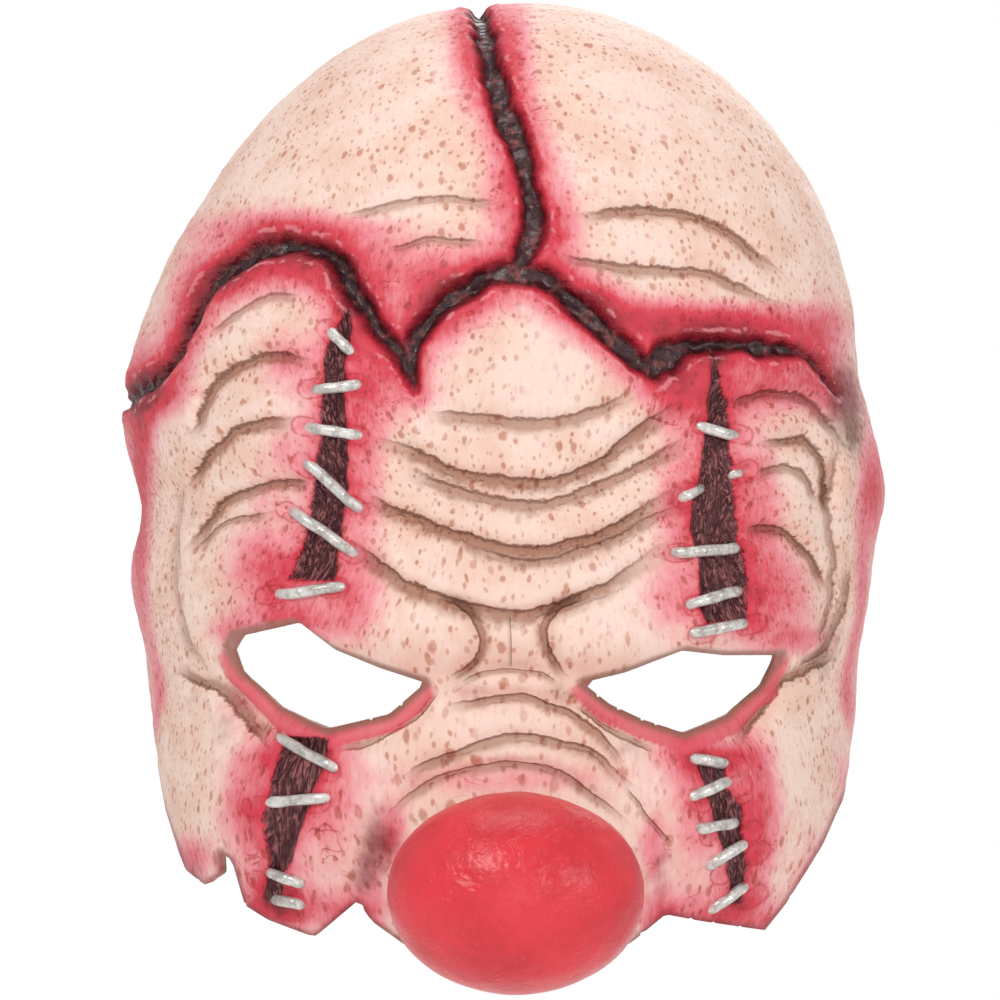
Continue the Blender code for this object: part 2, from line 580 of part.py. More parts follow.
def make_strap(tree, collection):
    """A flat elastic from one temple to the other, round where the wearer's head goes, cut from one outline."""
    right, left = tab_path(tree, 1.0), tab_path(tree, -1.0)
    middle = 0.5 * (right[-1][0] + left[-1][0])
    half_width = 0.5 * (right[-1][0] - left[-1][0])
    turn = np.linspace(0.0, math.pi, STRAP_STEPS + 1)[1:-1]
    loop_x = middle + half_width * np.cos(turn)
    loop_y = np.interp(loop_x, (left[-1][0], right[-1][0]), (left[-1][1], right[-1][1]))
    loop_y += STRAP_LOOP_DEPTH * np.sin(turn)
    path = np.vstack([right, np.stack([loop_x, loop_y], axis=1), left[::-1]])
    along = np.gradient(path, axis=0)
    inward = np.stack([-along[:, 1], along[:, 0]], axis=1)
    inward /= np.linalg.norm(inward, axis=1, keepdims=True)
    outline = [*path, *(path + inward * STRAP_THICKNESS)[::-1]]
    curve = bpy.data.curves.new("elastic_strap", "CURVE")
    curve.dimensions = "2D"
    curve.fill_mode = "BOTH"
    curve.extrude = 0.5 * STRAP_WIDTH
    line = curve.splines.new("POLY")
    line.points.add(len(outline) - 1)
    line.use_cyclic_u = True
    for point, (x, y) in zip(line.points, outline):
        point.co = (x, y, 0.0, 1.0)
    strap = placed("elastic_strap", curve, rubber("elastic_weave", (0.02, 0.02, 0.02), 0.8), collection)
    strap.location.z = STRAP_Z
    return strap


def main():
    for obj in list(bpy.data.objects):
        bpy.data.objects.remove(obj)
    collection = bpy.data.collections.new("clown_half_mask")
    bpy.context.scene.collection.children.link(collection)
    skin = make_skin(collection)
    make_nose(collection)
    bpy.context.view_layer.update()
    tree = BVHTree.FromObject(skin, bpy.context.evaluated_depsgraph_get())
    silver = rubber("stitch_silver", (0.62, 0.60, 0.57), 0.3, 0.6)
    for row in STITCHES:
        make_stitch(row, tree, silver, collection)
    make_strap(tree, collection)


main()
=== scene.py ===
# Clown half mask: the fine latex surface and its paint, the stitches, the nose and the strap
import math

import bpy
import numpy as np
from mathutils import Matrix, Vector
from mathutils.bvhtree import BVHTree


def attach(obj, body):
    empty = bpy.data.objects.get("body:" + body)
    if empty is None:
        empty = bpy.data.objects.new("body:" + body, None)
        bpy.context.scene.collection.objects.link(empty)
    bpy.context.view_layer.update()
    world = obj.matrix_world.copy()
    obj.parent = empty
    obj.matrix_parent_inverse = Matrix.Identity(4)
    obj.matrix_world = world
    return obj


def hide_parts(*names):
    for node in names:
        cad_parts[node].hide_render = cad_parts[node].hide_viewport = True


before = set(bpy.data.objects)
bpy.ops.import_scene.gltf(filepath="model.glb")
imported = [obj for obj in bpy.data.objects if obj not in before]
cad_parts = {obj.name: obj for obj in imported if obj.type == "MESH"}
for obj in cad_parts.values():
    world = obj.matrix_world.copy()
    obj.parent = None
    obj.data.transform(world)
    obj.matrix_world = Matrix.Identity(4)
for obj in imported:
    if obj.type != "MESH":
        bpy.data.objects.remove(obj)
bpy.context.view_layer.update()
print("frame loaded:", len(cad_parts), "nodes")

# The pixel of the photograph where x and z are 0, and what one pixel measures on the mask
photo = {"originX": 505.0, "originZ": 680.0, "metresPerPixel": 0.00024, "pixels": 1000.0}


def fromPhoto(points):  # pixels of the photograph as front-view x and z in metres
    scale = photo["metresPerPixel"]
    return (np.asarray(points, float) - (photo["originX"], photo["originZ"])) * (scale, -scale)


camera = {"distance": 9.0, "planeY": 0.030, "sensor": 36.0, "clipEnd": 90.0}


def makeCamera():  # a long lens straight in front: the photograph's frame lies in the plane at planeY
    data = bpy.data.cameras.new("frontCamera")
    span = photo["pixels"] * photo["metresPerPixel"]
    data.sensor_width = camera["sensor"]
    data.lens = camera["sensor"] * (camera["distance"] + camera["planeY"]) / span
    data.clip_end = camera["clipEnd"]
    x, z = fromPhoto((0.5 * photo["pixels"], 0.5 * photo["pixels"]))
    view = bpy.data.objects.new("frontCamera", data)
    view.location = (x, -camera["distance"], z)
    view.rotation_euler = (0.5 * math.pi, 0.0, 0.0)
    bpy.context.scene.collection.objects.link(view)
    bpy.context.scene.camera = view


makeCamera()
print("camera placed")


def smoothStep(low, high, value):  # 0 below low, 1 above high, an even S between them
    share = np.clip((value - low) / (high - low), 0.0, 1.0)
    return share * share * (3.0 - 2.0 * share)


def hill(value, width):  # a bell of height 1 about 0
    return np.exp(-((value / width) ** 2))


def lumps(x, z, size, seed):  # smooth heights from -1 to 1: random lattice corners with S-shaped passages
    corners = np.random.default_rng(seed).uniform(-1.0, 1.0, (128, 128))
    column, row = np.floor(x / size).astype(int), np.floor(z / size).astype(int)
    across, up = smoothStep(0.0, 1.0, x / size - column), smoothStep(0.0, 1.0, z / size - row)
    low = corners[column % 128, row % 128] * (1 - across) + corners[(column + 1) % 128, row % 128] * across
    high = corners[column % 128, (row + 1) % 128] * (1 - across)
    high += corners[(column + 1) % 128, (row + 1) % 128] * across
    return low * (1 - up) + high * up


def through(points, stepsEach=6):  # a smooth run through a few points (Catmull-Rom)
    points = np.asarray(points, float)
    padded = np.vstack([2 * points[0] - points[1], points, 2 * points[-1] - points[-2]])
    share = np.linspace(0.0, 1.0, stepsEach, endpoint=False)[:, None]
    runs = []
    for before, first, last, after in zip(padded, padded[1:], padded[2:], padded[3:]):
        bend = 2 * before - 5 * first + 4 * last - after
        twist = 3 * (first - last) + after - before
        runs.append(first + 0.5 * share * (last - before + share * (bend + share * twist)))
    return np.vstack([*runs, points[-1]])


def nearOn(line, x, z, reach):  # distance to a line, share along it, and side: right of its run is positive
    low, high = line.min(axis=0) - reach, line.max(axis=0) + reach
    near = (x > low[0]) & (x < high[0]) & (z > low[1]) & (z < high[1])
    nearX, nearZ = x[near], z[near]
    gap, along, side = np.full(nearX.shape, reach), np.zeros(nearX.shape), np.ones(nearX.shape)
    for index, (first, last) in enumerate(zip(line, line[1:])):
        run = last - first
        share = np.clip(((nearX - first[0]) * run[0] + (nearZ - first[1]) * run[1]) / (run @ run), 0.0, 1.0)
        offX, offZ = nearX - first[0] - share * run[0], nearZ - first[1] - share * run[1]
        distance = np.hypot(offX, offZ)
        closer = distance < gap
        gap = np.where(closer, distance, gap)
        along = np.where(closer, (index + share) / (len(line) - 1), along)
        side = np.where(closer, np.where(offX * run[1] - offZ * run[0] >= 0, 1.0, -1.0), side)
    allGap, allAlong, allSide = np.full(x.shape, reach), np.zeros(x.shape), np.ones(x.shape)
    allGap[near], allAlong[near], allSide[near] = gap, along, side
    return allGap, allAlong, allSide


def outsideOf(outline, x, z, reach=1.0):  # distance to a closed front-view outline, negative inside it
    closed = np.vstack([outline, outline[:1]])
    distance, _, _ = nearOn(closed, x, z, reach)
    crossings = np.zeros(x.shape, int)
    for first, last in zip(closed, closed[1:]):
        spans = (first[1] > z) != (last[1] > z)
        rise = last[1] - first[1] if last[1] != first[1] else 1.0
        crossings += spans & (x < first[0] + (z - first[1]) * (last[0] - first[0]) / rise)
    return np.where(crossings % 2 == 1, -distance, distance)


# The plain head form, with the same driving sizes as the frame's solids
form = {
    "halfWidth": 0.0900, "crownRise": 0.1200, "jawDrop": 0.1500, "faceDepth": 0.0800, "centreZ": 0.0432,
    "widestY": 0.0705, "crownSquareness": 2.1, "jawSquareness": 2.2, "faceSquareness": 2.3,
    "wall": 0.0020, "sideWrap": 0.0150, "wallLean": 0.25, "wallRun": 0.1300,
}
shareAcross = form["halfWidth"]
shareUp = form["centreZ"] + form["crownRise"]

# Bearing in degrees from the form's middle, reach as a share of the plain oval, wrap as a share of sideWrap
outlineRows = (
    (0.0, 1.014, 1.0), (6.0, 1.000, 1.0), (12.0, 0.980, 1.0), (20.0, 0.962, 1.0), (30.0, 1.000, 0.9),
    (45.0, 1.020, 0.7), (60.0, 1.015, 0.6), (90.0, 0.998, 0.5), (120.0, 0.984, 0.6), (135.0, 0.989, 0.7),
    (150.0, 1.018, 0.9), (160.0, 1.034, 1.0), (165.0, 1.050, 1.0), (169.0, 1.032, 1.0), (176.0, 0.990, 1.0),
    (183.0, 0.960, 1.0), (190.0, 1.004, 1.0), (200.0, 0.993, 0.7), (210.0, 1.012, 0.1), (218.0, 0.992, -0.6),
    (225.0, 0.992, -1.2), (234.0, 1.030, -1.9), (270.0, 1.000, -2.4), (308.0, 1.015, -1.9),
    (315.0, 0.970, -1.2), (322.0, 0.976, -0.6), (330.0, 1.002, 0.1), (340.0, 0.971, 0.7), (350.0, 0.975, 1.0),
    (355.0, 0.990, 1.0),
)

# Broad forms: middle and size as shares of shareAcross and shareUp, height as a share of faceDepth
swells = {
    "browLeft": (-0.28, 0.07, 0.26, 0.075, 0.075), "browRight": (0.30, 0.06, 0.26, 0.075, 0.075),
    "browLeftOuter": (-0.68, 0.14, 0.22, 0.12, 0.055), "browRightOuter": (0.72, 0.13, 0.20, 0.12, 0.055),
    "foreheadPatch": (0.03, 0.46, 0.28, 0.13, 0.035), "archLeft": (-0.62, 0.42, 0.24, 0.17, 0.045),
    "archRight": (0.72, 0.36, 0.22, 0.14, 0.040), "bridge": (0.02, -0.01, 0.16, 0.06, -0.045),
    "socketLeft": (-0.47, -0.02, 0.28, 0.06, -0.075), "socketRight": (0.47, -0.02, 0.28, 0.06, -0.075),
    "cheekLeft": (-0.72, -0.16, 0.20, 0.12, 0.045), "cheekRight": (0.74, -0.16, 0.20, 0.12, 0.045),
    "muzzle": (0.02, -0.27, 0.62, 0.17, 0.140), "templeLeft": (-0.93, -0.02, 0.12, 0.10, -0.030),
    "templeRight": (0.93, -0.02, 0.12, 0.10, -0.030),
}

lowerEdge = (
    (-1.10, -0.10), (-0.950, -0.140), (-0.880, -0.243), (-0.853, -0.280), (-0.800, -0.302), (-0.758, -0.285),
    (-0.760, -0.252), (-0.728, -0.264), (-0.693, -0.331), (-0.627, -0.353), (-0.507, -0.377), (-0.392, -0.323),
    (-0.354, -0.353), (-0.278, -0.383), (-0.180, -0.420), (0.020, -0.428), (0.220, -0.420), (0.339, -0.383),
    (0.427, -0.343), (0.520, -0.353), (0.693, -0.368), (0.747, -0.331), (0.848, -0.243), (0.891, -0.191),
    (0.940, -0.140), (1.10, -0.10), (1.60, -0.10), (1.60, 1.60), (-1.60, 1.60), (-1.60, -0.10),
)
eyeLeft = (
    (-0.722, 0.045), (-0.700, 0.066), (-0.545, 0.085), (-0.450, 0.045), (-0.330, 0.018),
    (-0.212, -0.003), (-0.310, -0.050), (-0.475, -0.071), (-0.600, -0.040), (-0.700, 0.010),
)
eyeRight = (
    (0.206, -0.003), (0.320, 0.012), (0.470, 0.044), (0.580, 0.037), (0.722, 0.037),
    (0.690, -0.010), (0.600, -0.050), (0.476, -0.077), (0.370, -0.058), (0.280, -0.035),
)

nose = {
    "x": 0.026 * shareAcross, "z": -0.310 * shareUp, "halfWidth": 0.0307, "halfHeight": 0.0243,
    "halfDepth": 0.0240, "neckBack": 0.0170, "wall": 0.0020, "seatGap": 0.0003, "seatMargin": 0.0016,
    "seatY": form["widestY"] - form["faceDepth"] - 0.0025, "seatBlend": 0.0090, "sides": 240, "rings": 120,
    "innerRings": 30,
}
nose["neckShare"] = math.sqrt(1.0 - (nose["neckBack"] / nose["halfDepth"]) ** 2)


def inMetres(points):  # shares of the mask as front-view x and z
    return np.array(points, float) * (shareAcross, shareUp)


def alongOutline(bearing, column):  # a column of outlineRows at any bearing
    before = (outlineRows[-1][0] - 360.0, *outlineRows[-1][1:])
    rows = np.array([before, *outlineRows, (360.0, *outlineRows[0][1:])])
    places = [(np.degrees(bearing) % 360.0 + shift) % 360.0 for shift in (-2.0, 0.0, 2.0)]
    return sum(np.interp(place, rows[:, 0], rows[:, column]) for place in places) / 3.0


def headForm(u, w):
    # A disc sheet wrapped over two half superellipses, and from its rim straight back along the sides
    share = np.hypot(u, w)
    bearing = np.arctan2(w, u)
    above = np.sin(bearing) >= 0
    rise = np.where(above, form["crownRise"], form["jawDrop"])
    square = np.where(above, form["crownSquareness"], form["jawSquareness"])
    widthPart = np.abs(np.cos(bearing) / form["halfWidth"]) ** square
    heightPart = np.abs(np.sin(bearing) / rise) ** square
    reach = (widthPart + heightPart) ** (-1.0 / square) * alongOutline(bearing, 1)
    angle = np.clip(share, 0.0, 1.0) * math.pi / 2
    power = form["faceSquareness"]
    swell = (np.sin(angle) ** power + np.cos(angle) ** power) ** (-1.0 / power)
    back = np.clip(share - 1.0, 0.0, None) * form["wallRun"]
    out = reach * swell * np.sin(angle) - back * back * form["wallLean"] / form["sideWrap"]
    y = form["widestY"] - form["faceDepth"] * swell * np.cos(angle) + back
    return np.stack([out * np.cos(bearing), y, form["centreZ"] + out * np.sin(bearing)], axis=-1)


def formNormal(u, w):  # across the form, from small steps along it
    step = 1e-4
    alongU = headForm(u + step, w) - headForm(u - step, w)
    alongW = headForm(u, w + step) - headForm(u, w - step)
    normal = np.cross(alongU, alongW)
    return normal / np.linalg.norm(normal, axis=-1, keepdims=True)


def noseOval(x, z, halfWidth, halfHeight):  # distance outside an upright oval about the nose
    share = np.hypot((x - nose["x"]) / halfWidth, (z - nose["z"]) / halfHeight)
    return (share - 1.0) * 0.5 * (halfWidth + halfHeight)


# Creases in pixels: paint layer, depth and shaded band in millimetres, strength of the shade, and the run.
# The full side lies left of the run and the shaded step right of it.
creases = {
    "crownLeftUpper": (0, 0.9, 2.6, 0.60, ((340, 216), (380, 204), (425, 196), (465, 197), (500, 202))),
    "crownLeftLower": (1, 1.0, 2.4, 0.65, ((388, 247), (430, 238), (485, 241))),
    "crownRightUpper": (0, 1.5, 3.2, 0.85,
        ((572, 216), (620, 208), (662, 207), (700, 215), (740, 236), (790, 282))),
    "crownRightLower": (1, 1.3, 2.8, 0.80,
        ((560, 256), (590, 260), (630, 267), (680, 270), (720, 275), (800, 312))),
    "foreheadFirst": (0, 1.3, 3.4, 0.80, ((425, 409), (480, 417), (530, 421), (580, 413), (640, 388))),
    "foreheadSecond": (1, 1.9, 3.8, 0.95,
        ((366, 432), (418, 452), (455, 469), (500, 478), (545, 478), (600, 458), (640, 426),
        (692, 396))),
    "foreheadSecondLower": (0, 1.4, 3.6, 0.85,
        ((400, 464), (445, 482), (500, 498), (545, 499), (600, 481), (648, 459), (692, 432))),
    "foreheadThird": (1, 2.0, 4.0, 1.00,
        ((362, 490), (395, 508), (430, 522), (480, 537), (525, 546), (575, 540), (630, 516),
        (690, 480))),
    "foreheadThirdLower": (0, 1.0, 2.8, 0.65,
        ((458, 540), (510, 556), (550, 557), (590, 546), (640, 524), (690, 498))),
    "foreheadFourth": (1, 2.2, 3.8, 0.95,
        ((350, 538), (380, 560), (420, 587), (465, 602), (520, 610), (560, 602), (600, 584),
        (692, 526))),
    "archLeftFirst": (1, 0.8, 2.2, 0.60, ((212, 337), (239, 315), (269, 298), (306, 297))),
    "archLeftSecond": (0, 2.0, 3.4, 0.90,
        ((193, 440), (203, 410), (219, 382), (245, 365), (280, 356), (322, 362))),
    "archLeftThird": (1, 2.0, 3.2, 0.95,
        ((190, 492), (205, 461), (224, 441), (244, 429), (269, 422), (304, 420))),
    "archLeftFourth": (0, 1.9, 3.2, 0.90,
        ((194, 555), (212, 521), (232, 499), (259, 484), (294, 479), (318, 481))),
    "archLeftFifth": (1, 1.0, 2.4, 0.65, ((203, 553), (224, 528), (249, 516), (278, 514))),
    "leftSide": (2, 1.2, 2.4, 0.45, ((188, 470), (184, 560), (190, 630), (208, 672))),
    "archRightFirst": (0, 1.5, 2.8, 0.80,
        ((722, 404), (742, 396), (772, 391), (793, 395), (815, 410), (841, 457))),
    "archRightSecond": (1, 1.8, 3.0, 0.90,
        ((745, 445), (782, 438), (803, 444), (818, 462), (825, 492), (825, 518))),
    "archRightThird": (0, 1.3, 2.6, 0.75, ((747, 474), (767, 468), (788, 469), (805, 482), (815, 504))),
    "archRightFourth": (1, 1.9, 3.0, 0.90,
        ((737, 525), (757, 525), (775, 529), (793, 543), (808, 563), (820, 593))),
    "rightSide": (2, 1.3, 2.4, 0.60,
        ((830, 442), (828, 478), (826, 528), (826, 578), (823, 624), (808, 642))),
    "rightTemple": (1, 1.2, 2.6, 0.70, ((846, 560), (839, 610), (824, 652), (796, 668))),
    "browLeftEnd": (0, 2.4, 2.6, 0.90,
        ((446, 679), (468, 664), (479, 645), (476, 627), (463, 609), (434, 594))),
    "browRightEnd": (0, 2.4, 2.6, 0.90,
        ((592, 594), (563, 606), (550, 618), (545, 632), (553, 655), (572, 678))),
    "bridgeUpright": (2, 0.5, 1.0, 0.55, ((510, 610), (512, 640), (511, 670))),
    "bridgeFirst": (1, 0.9, 1.6, 0.60, ((458, 684), (480, 672), (510, 669), (540, 671), (562, 682))),
    "bridgeSecond": (0, 1.4, 2.6, 0.85,
        ((440, 705), (480, 699), (520, 695), (550, 703), (576, 715), (601, 735), (624, 762))),
    "bridgeThird": (1, 1.4, 2.8, 0.80,
        ((403, 773), (428, 758), (457, 746), (490, 737), (525, 734), (563, 740), (596, 753),
        (643, 790))),
    "noseRoll": (0, 1.6, 2.4, 0.70,
        ((384, 815), (410, 789), (433, 775), (468, 763), (510, 760), (545, 763), (570, 773), (600, 794),
        (628, 820))),
    "lidLeftOuter": (0, 1.7, 3.0, 0.85, ((276, 746), (244, 723), (221, 699), (197, 687), (162, 672))),
    "lidLeftInner": (1, 1.3, 1.8, 0.70,
        ((440, 692), (428, 706), (410, 723), (386, 735), (362, 746), (335, 752))),
    "lidRightInner": (1, 1.3, 1.8, 0.70, ((655, 752), (626, 741), (601, 724), (574, 704))),
    "lidRightOuter": (0, 1.7, 3.0, 0.85, ((840, 655), (815, 671), (790, 683), (765, 713), (732, 750))),
    "cheekRightTear": (2, 0.7, 1.4, 0.65, ((622, 780), (640, 808), (664, 834))),
}

# Cracks: the column and row of each point in pixels, and the half width there in millimetres
cracks = {
    "crownSplit": ((470, -14, 1.5), (480, 12, 1.9), (490, 60, 2.2), (505, 110, 2.3), (520, 150, 2.4),
        (530, 190, 2.3), (534, 225, 2.4), (524, 256, 2.6), (518, 274, 2.8)),
    "middleBeam": ((480, 279, 2.2), (505, 273, 3.0), (540, 277, 2.8), (560, 290, 2.2)),
    "leftBranch": ((490, 276, 2.2), (455, 296, 2.2), (437, 312, 2.2), (420, 332, 2.0), (412, 350, 1.6),
        (416, 390, 0.3)),
    "leftArch": ((118, 404, 1.6), (134, 390, 1.5), (152, 382, 1.5), (177, 354, 1.1), (190, 327, 1.2),
        (205, 297, 1.3), (219, 275, 1.5), (239, 262, 1.6), (259, 251, 1.9), (289, 245, 2.1),
        (319, 250, 2.1), (339, 263, 2.1), (349, 285, 2.1), (364, 307, 2.0), (384, 337, 1.9),
        (404, 358, 1.8), (416, 388, 0.4)),
    "rightBranch": ((535, 276, 2.4), (557, 290, 2.3), (575, 306, 2.2), (596, 324, 2.2), (617, 342, 2.2),
        (635, 360, 2.1), (656, 374, 1.9)),
    "rightShelf": ((650, 372, 1.8), (666, 359, 3.2), (682, 349, 2.3), (702, 346, 1.9), (732, 345, 1.8),
        (762, 348, 1.8), (790, 351, 1.3), (812, 362, 1.0), (832, 395, 0.4)),
}
crackShape = {"depth": 2.7, "shoulder": 0.9, "lip": 0.75, "reach": 14.0}

# Open wounds: a row of height, left edge and right edge in pixels
gashes = {
    "browLeft": ((308, 346, 352), (330, 340, 354), (354, 329, 349), (404, 326, 348), (441, 323, 350),
        (479, 319, 349), (516, 314, 346), (553, 307, 341), (580, 293, 340)),
    "browRight": ((352, 711, 714), (386, 709, 717), (401, 705, 722), (426, 704, 724), (452, 699, 724),
        (477, 697, 727), (502, 691, 729), (530, 689, 732), (558, 694, 736), (578, 695, 736),
        (603, 694, 737), (621, 700, 738)),
    "cheekLeft": ((738, 288, 330), (765, 284, 328), (789, 282, 322), (812, 275, 315), (836, 279, 306),
        (855, 281, 301), (869, 277, 292), (897, 274, 290)),
    "cheekRight": ((758, 690, 719), (777, 697, 714), (802, 702, 729), (827, 706, 728), (852, 713, 734),
        (872, 716, 732), (896, 718, 731)),
}
gashShape = {"depth": 2.1, "lip": 0.4, "reach": 12.0, "strand": 0.55}

# The two ends of each stitch in pixels
stitches = {
    "stitch_brow_left_1": ((328, 329), (354, 355)), "stitch_brow_left_2": ((311, 392), (363, 384)),
    "stitch_brow_left_3": ((304, 427), (364, 437)), "stitch_brow_left_4": ((305, 460), (363, 512)),
    "stitch_brow_left_5": ((290, 508), (359, 556)), "stitch_brow_left_6": ((275, 595), (347, 586)),
    "stitch_brow_right_1": ((695, 425), (738, 438)), "stitch_brow_right_2a": ((677, 500), (704, 486)),
    "stitch_brow_right_2b": ((727, 478), (743, 470)), "stitch_brow_right_3": ((669, 553), (740, 548)),
    "stitch_brow_right_4": ((684, 605), (742, 590)), "stitch_brow_right_5": ((688, 633), (748, 622)),
    "stitch_cheek_left_1": ((276, 735), (339, 769)), "stitch_cheek_left_2": ((265, 802), (332, 796)),
    "stitch_cheek_left_3": ((266, 871), (306, 884)), "stitch_cheek_left_4": ((271, 898), (307, 904)),
    "stitch_cheek_right_1": ((688, 758), (729, 763)), "stitch_cheek_right_2": ((688, 797), (731, 779)),
    "stitch_cheek_right_3": ((694, 828), (739, 822)), "stitch_cheek_right_4": ((704, 867), (747, 841)),
    "stitch_cheek_right_5": ((707, 911), (748, 884)),
}

# Airbrushed pink and red: middle and size in pixels, and strength
blushes = (
    (468, 45, 22, 60, 0.45), (515, 45, 20, 60, 0.55), (500, 200, 22, 40, 0.45), (560, 235, 26, 45, 0.55),
    (440, 295, 50, 42, 0.85), (388, 262, 38, 30, 0.50), (350, 232, 60, 16, 0.35), (590, 300, 30, 22, 0.75),
    (650, 318, 46, 20, 0.85), (740, 322, 75, 18, 0.85), (825, 325, 26, 30, 0.50), (250, 228, 80, 18, 0.45),
    (190, 300, 20, 55, 0.40), (300, 272, 60, 24, 0.80), (235, 285, 30, 24, 0.60), (165, 395, 30, 22, 0.75),
    (142, 440, 16, 80, 0.85), (141, 560, 12, 110, 0.75), (150, 700, 7, 50, 0.60), (374, 395, 26, 45, 0.70),
    (368, 490, 20, 70, 0.50), (362, 600, 26, 40, 0.60), (292, 365, 26, 32, 0.55), (288, 450, 22, 28, 0.40),
    (272, 500, 20, 20, 0.35), (272, 562, 34, 34, 0.80), (300, 618, 48, 24, 0.90), (240, 632, 22, 16, 0.55),
    (680, 396, 30, 36, 0.75), (676, 500, 24, 60, 0.55), (664, 598, 28, 36, 0.50), (765, 392, 56, 26, 0.75),
    (753, 500, 22, 60, 0.60), (765, 592, 36, 46, 0.75), (790, 640, 40, 15, 0.65), (872, 485, 16, 60, 1.00),
    (857, 600, 9, 100, 0.70), (855, 700, 8, 40, 0.50), (258, 800, 22, 60, 0.65), (345, 805, 32, 62, 0.50),
    (300, 900, 55, 26, 0.85), (205, 855, 22, 22, 0.80), (368, 905, 26, 22, 0.75), (678, 800, 20, 70, 0.50),
    (746, 800, 17, 80, 0.75), (700, 905, 60, 22, 0.70), (800, 880, 24, 56, 0.50), (836, 800, 14, 60, 0.50),
    (780, 920, 46, 14, 0.80), (510, 774, 120, 16, 0.40), (382, 870, 16, 30, 0.45), (650, 905, 22, 34, 0.60),
    (398, 824, 14, 26, 0.95), (642, 836, 13, 30, 0.70),
    (240, 700, 20, 24, 0.40), (470, 690, 20, 8, 0.25), (300, 755, 40, 14, 0.60), (700, 752, 50, 14, 0.60),
)

# Painted shade, grey-brown, brushed into the hollows: middle and size in pixels, and strength
hollowShadeSpots = (
    (386, 832, 20, 36, 0.75), (372, 868, 14, 20, 0.55), (650, 862, 13, 36, 0.50), (840, 398, 24, 40, 1.00),
    (848, 440, 14, 26, 0.60), (826, 652, 16, 30, 0.60), (186, 640, 12, 50, 0.40), (205, 520, 14, 90, 0.30),
    (470, 690, 26, 14, 0.40), (560, 690, 22, 14, 0.45), (228, 724, 14, 22, 0.40), (512, 665, 40, 8, 0.25),
    (130, 392, 14, 10, 0.70), (208, 868, 10, 14, 0.50), (622, 745, 26, 14, 0.35), (196, 700, 20, 8, 0.35),
)

# Low single forms: middle and size in pixels, height in millimetres
bumps = (
    (496, 642, 7, 20, 1.0), (526, 640, 8, 18, 1.0), (505, 684, 44, 6, 0.8), (505, 715, 50, 7, 0.9),
    (505, 748, 60, 7, 0.9), (668, 762, 5, 5, 0.9), (680, 772, 4, 4, 0.8), (676, 756, 4, 3, 0.6),
    (595, 300, 16, 7, 0.9), (640, 305, 20, 7, 0.8), (395, 290, 8, 14, 0.8), (690, 330, 26, 6, 0.7),
)


def spots(rows, x, z):  # a sum of bells, each with its own size across and up
    total = np.zeros(x.shape)
    for column, row, wide, tall, strength in rows:
        middle = fromPhoto((column, row))
        across = (x - middle[0]) / (wide * photo["metresPerPixel"])
        up = (z - middle[1]) / (tall * photo["metresPerPixel"])
        total += strength * np.exp(-(across**2) - up**2)
    return total


def swellHeight(x, z):  # the broad forms, as the frame's skin has them
    height = np.zeros(x.shape)
    for across, up, wide, tall, share in swells.values():
        bell = ((x / shareAcross - across) / wide) ** 2 + ((z / shareUp - up) / tall) ** 2
        height += share * form["faceDepth"] * np.exp(-bell)
    return height


def creaseRelief(x, z, flatX, flatZ, relief):
    # A step down across the run that fades back out over the band, below a soft full edge
    ragged = 0.50 * lumps(flatX, flatZ, 0.0065, 1) + 0.22 * lumps(flatX, flatZ, 0.0032, 2)
    relief["outer"], relief["inner"] = np.zeros(x.shape), np.zeros(x.shape)
    for layer in range(3):
        relief[f"crease{layer}"], relief[f"shade{layer}"] = np.full(x.shape, 4.0), np.zeros(x.shape)
    for layer, depth, band, shade, points in creases.values():
        gap, along, side = nearOn(through(fromPhoto(points)), x, z, 0.014)
        fade = smoothStep(0.0, 0.16, along) * smoothStep(0.0, 0.16, 1.0 - along)
        across = gap * 1000.0 * side + ragged
        step = smoothStep(-1.5, 1.0, across) * np.exp(-np.clip(across - 0.5, 0.0, None) / (0.70 * band))
        near = 1.0 - smoothStep(9.0, 13.5, gap * 1000.0)
        profile = 0.42 * hill(across + 3.0, 2.4) - 1.15 * step - 0.2 * hill(across, 4.0)
        relief["outer"] += near * fade * depth * profile
        relief["inner"] -= near * fade * depth * 0.8 * hill(across - 1.0, 4.5)
        closer = (gap < 0.0125) & (np.abs(across / band) < np.abs(relief[f"crease{layer}"]))
        relief[f"crease{layer}"] = np.where(closer, across / band, relief[f"crease{layer}"])
        faded = shade * fade * (1.0 - smoothStep(0.9, 1.35, np.abs(across / band)))
        relief[f"shade{layer}"] = np.where(closer, faded, relief[f"shade{layer}"])


def crackRelief(x, z, flatX, flatZ, relief):
    # A ragged steep groove with a lumpy floor, a soft shoulder and a broken lip on both sides
    beyond = np.full(x.shape, crackShape["reach"])
    for rows in cracks.values():
        points = np.array(rows, float)
        line = through(fromPhoto(points[:, :2]))
        halfWidths = through(points[:, 2:])[:, 0]
        gap, along, _ = nearOn(line, x, z, crackShape["reach"] / 1000.0)
        half = np.interp(along, np.linspace(0.0, 1.0, len(halfWidths)), halfWidths)
        beyond = np.minimum(beyond, gap * 1000.0 - half * (1.15 + 0.32 * lumps(flatX, flatZ, 0.0100, 15)))
    beyond = beyond + 0.55 * lumps(flatX, flatZ, 0.0046, 3) + 0.28 * lumps(flatX, flatZ, 0.0024, 4)
    outside = np.clip(beyond, 0.0, None)
    floor = crackShape["depth"] + 0.50 * lumps(flatX, flatZ, 0.0030, 5)
    relief["outer"] -= floor * (1.0 - smoothStep(-1.7, 0.8, beyond))
    relief["outer"] -= crackShape["shoulder"] * np.exp(-outside / 3.2)
    broken = 0.55 + 0.75 * lumps(flatX, flatZ, 0.0060, 6)
    relief["outer"] += crackShape["lip"] * broken * hill(beyond - 2.0, 1.1)
    relief["inner"] -= 2.6 * hill(outside, 5.0)
    relief["crackGap"] = beyond


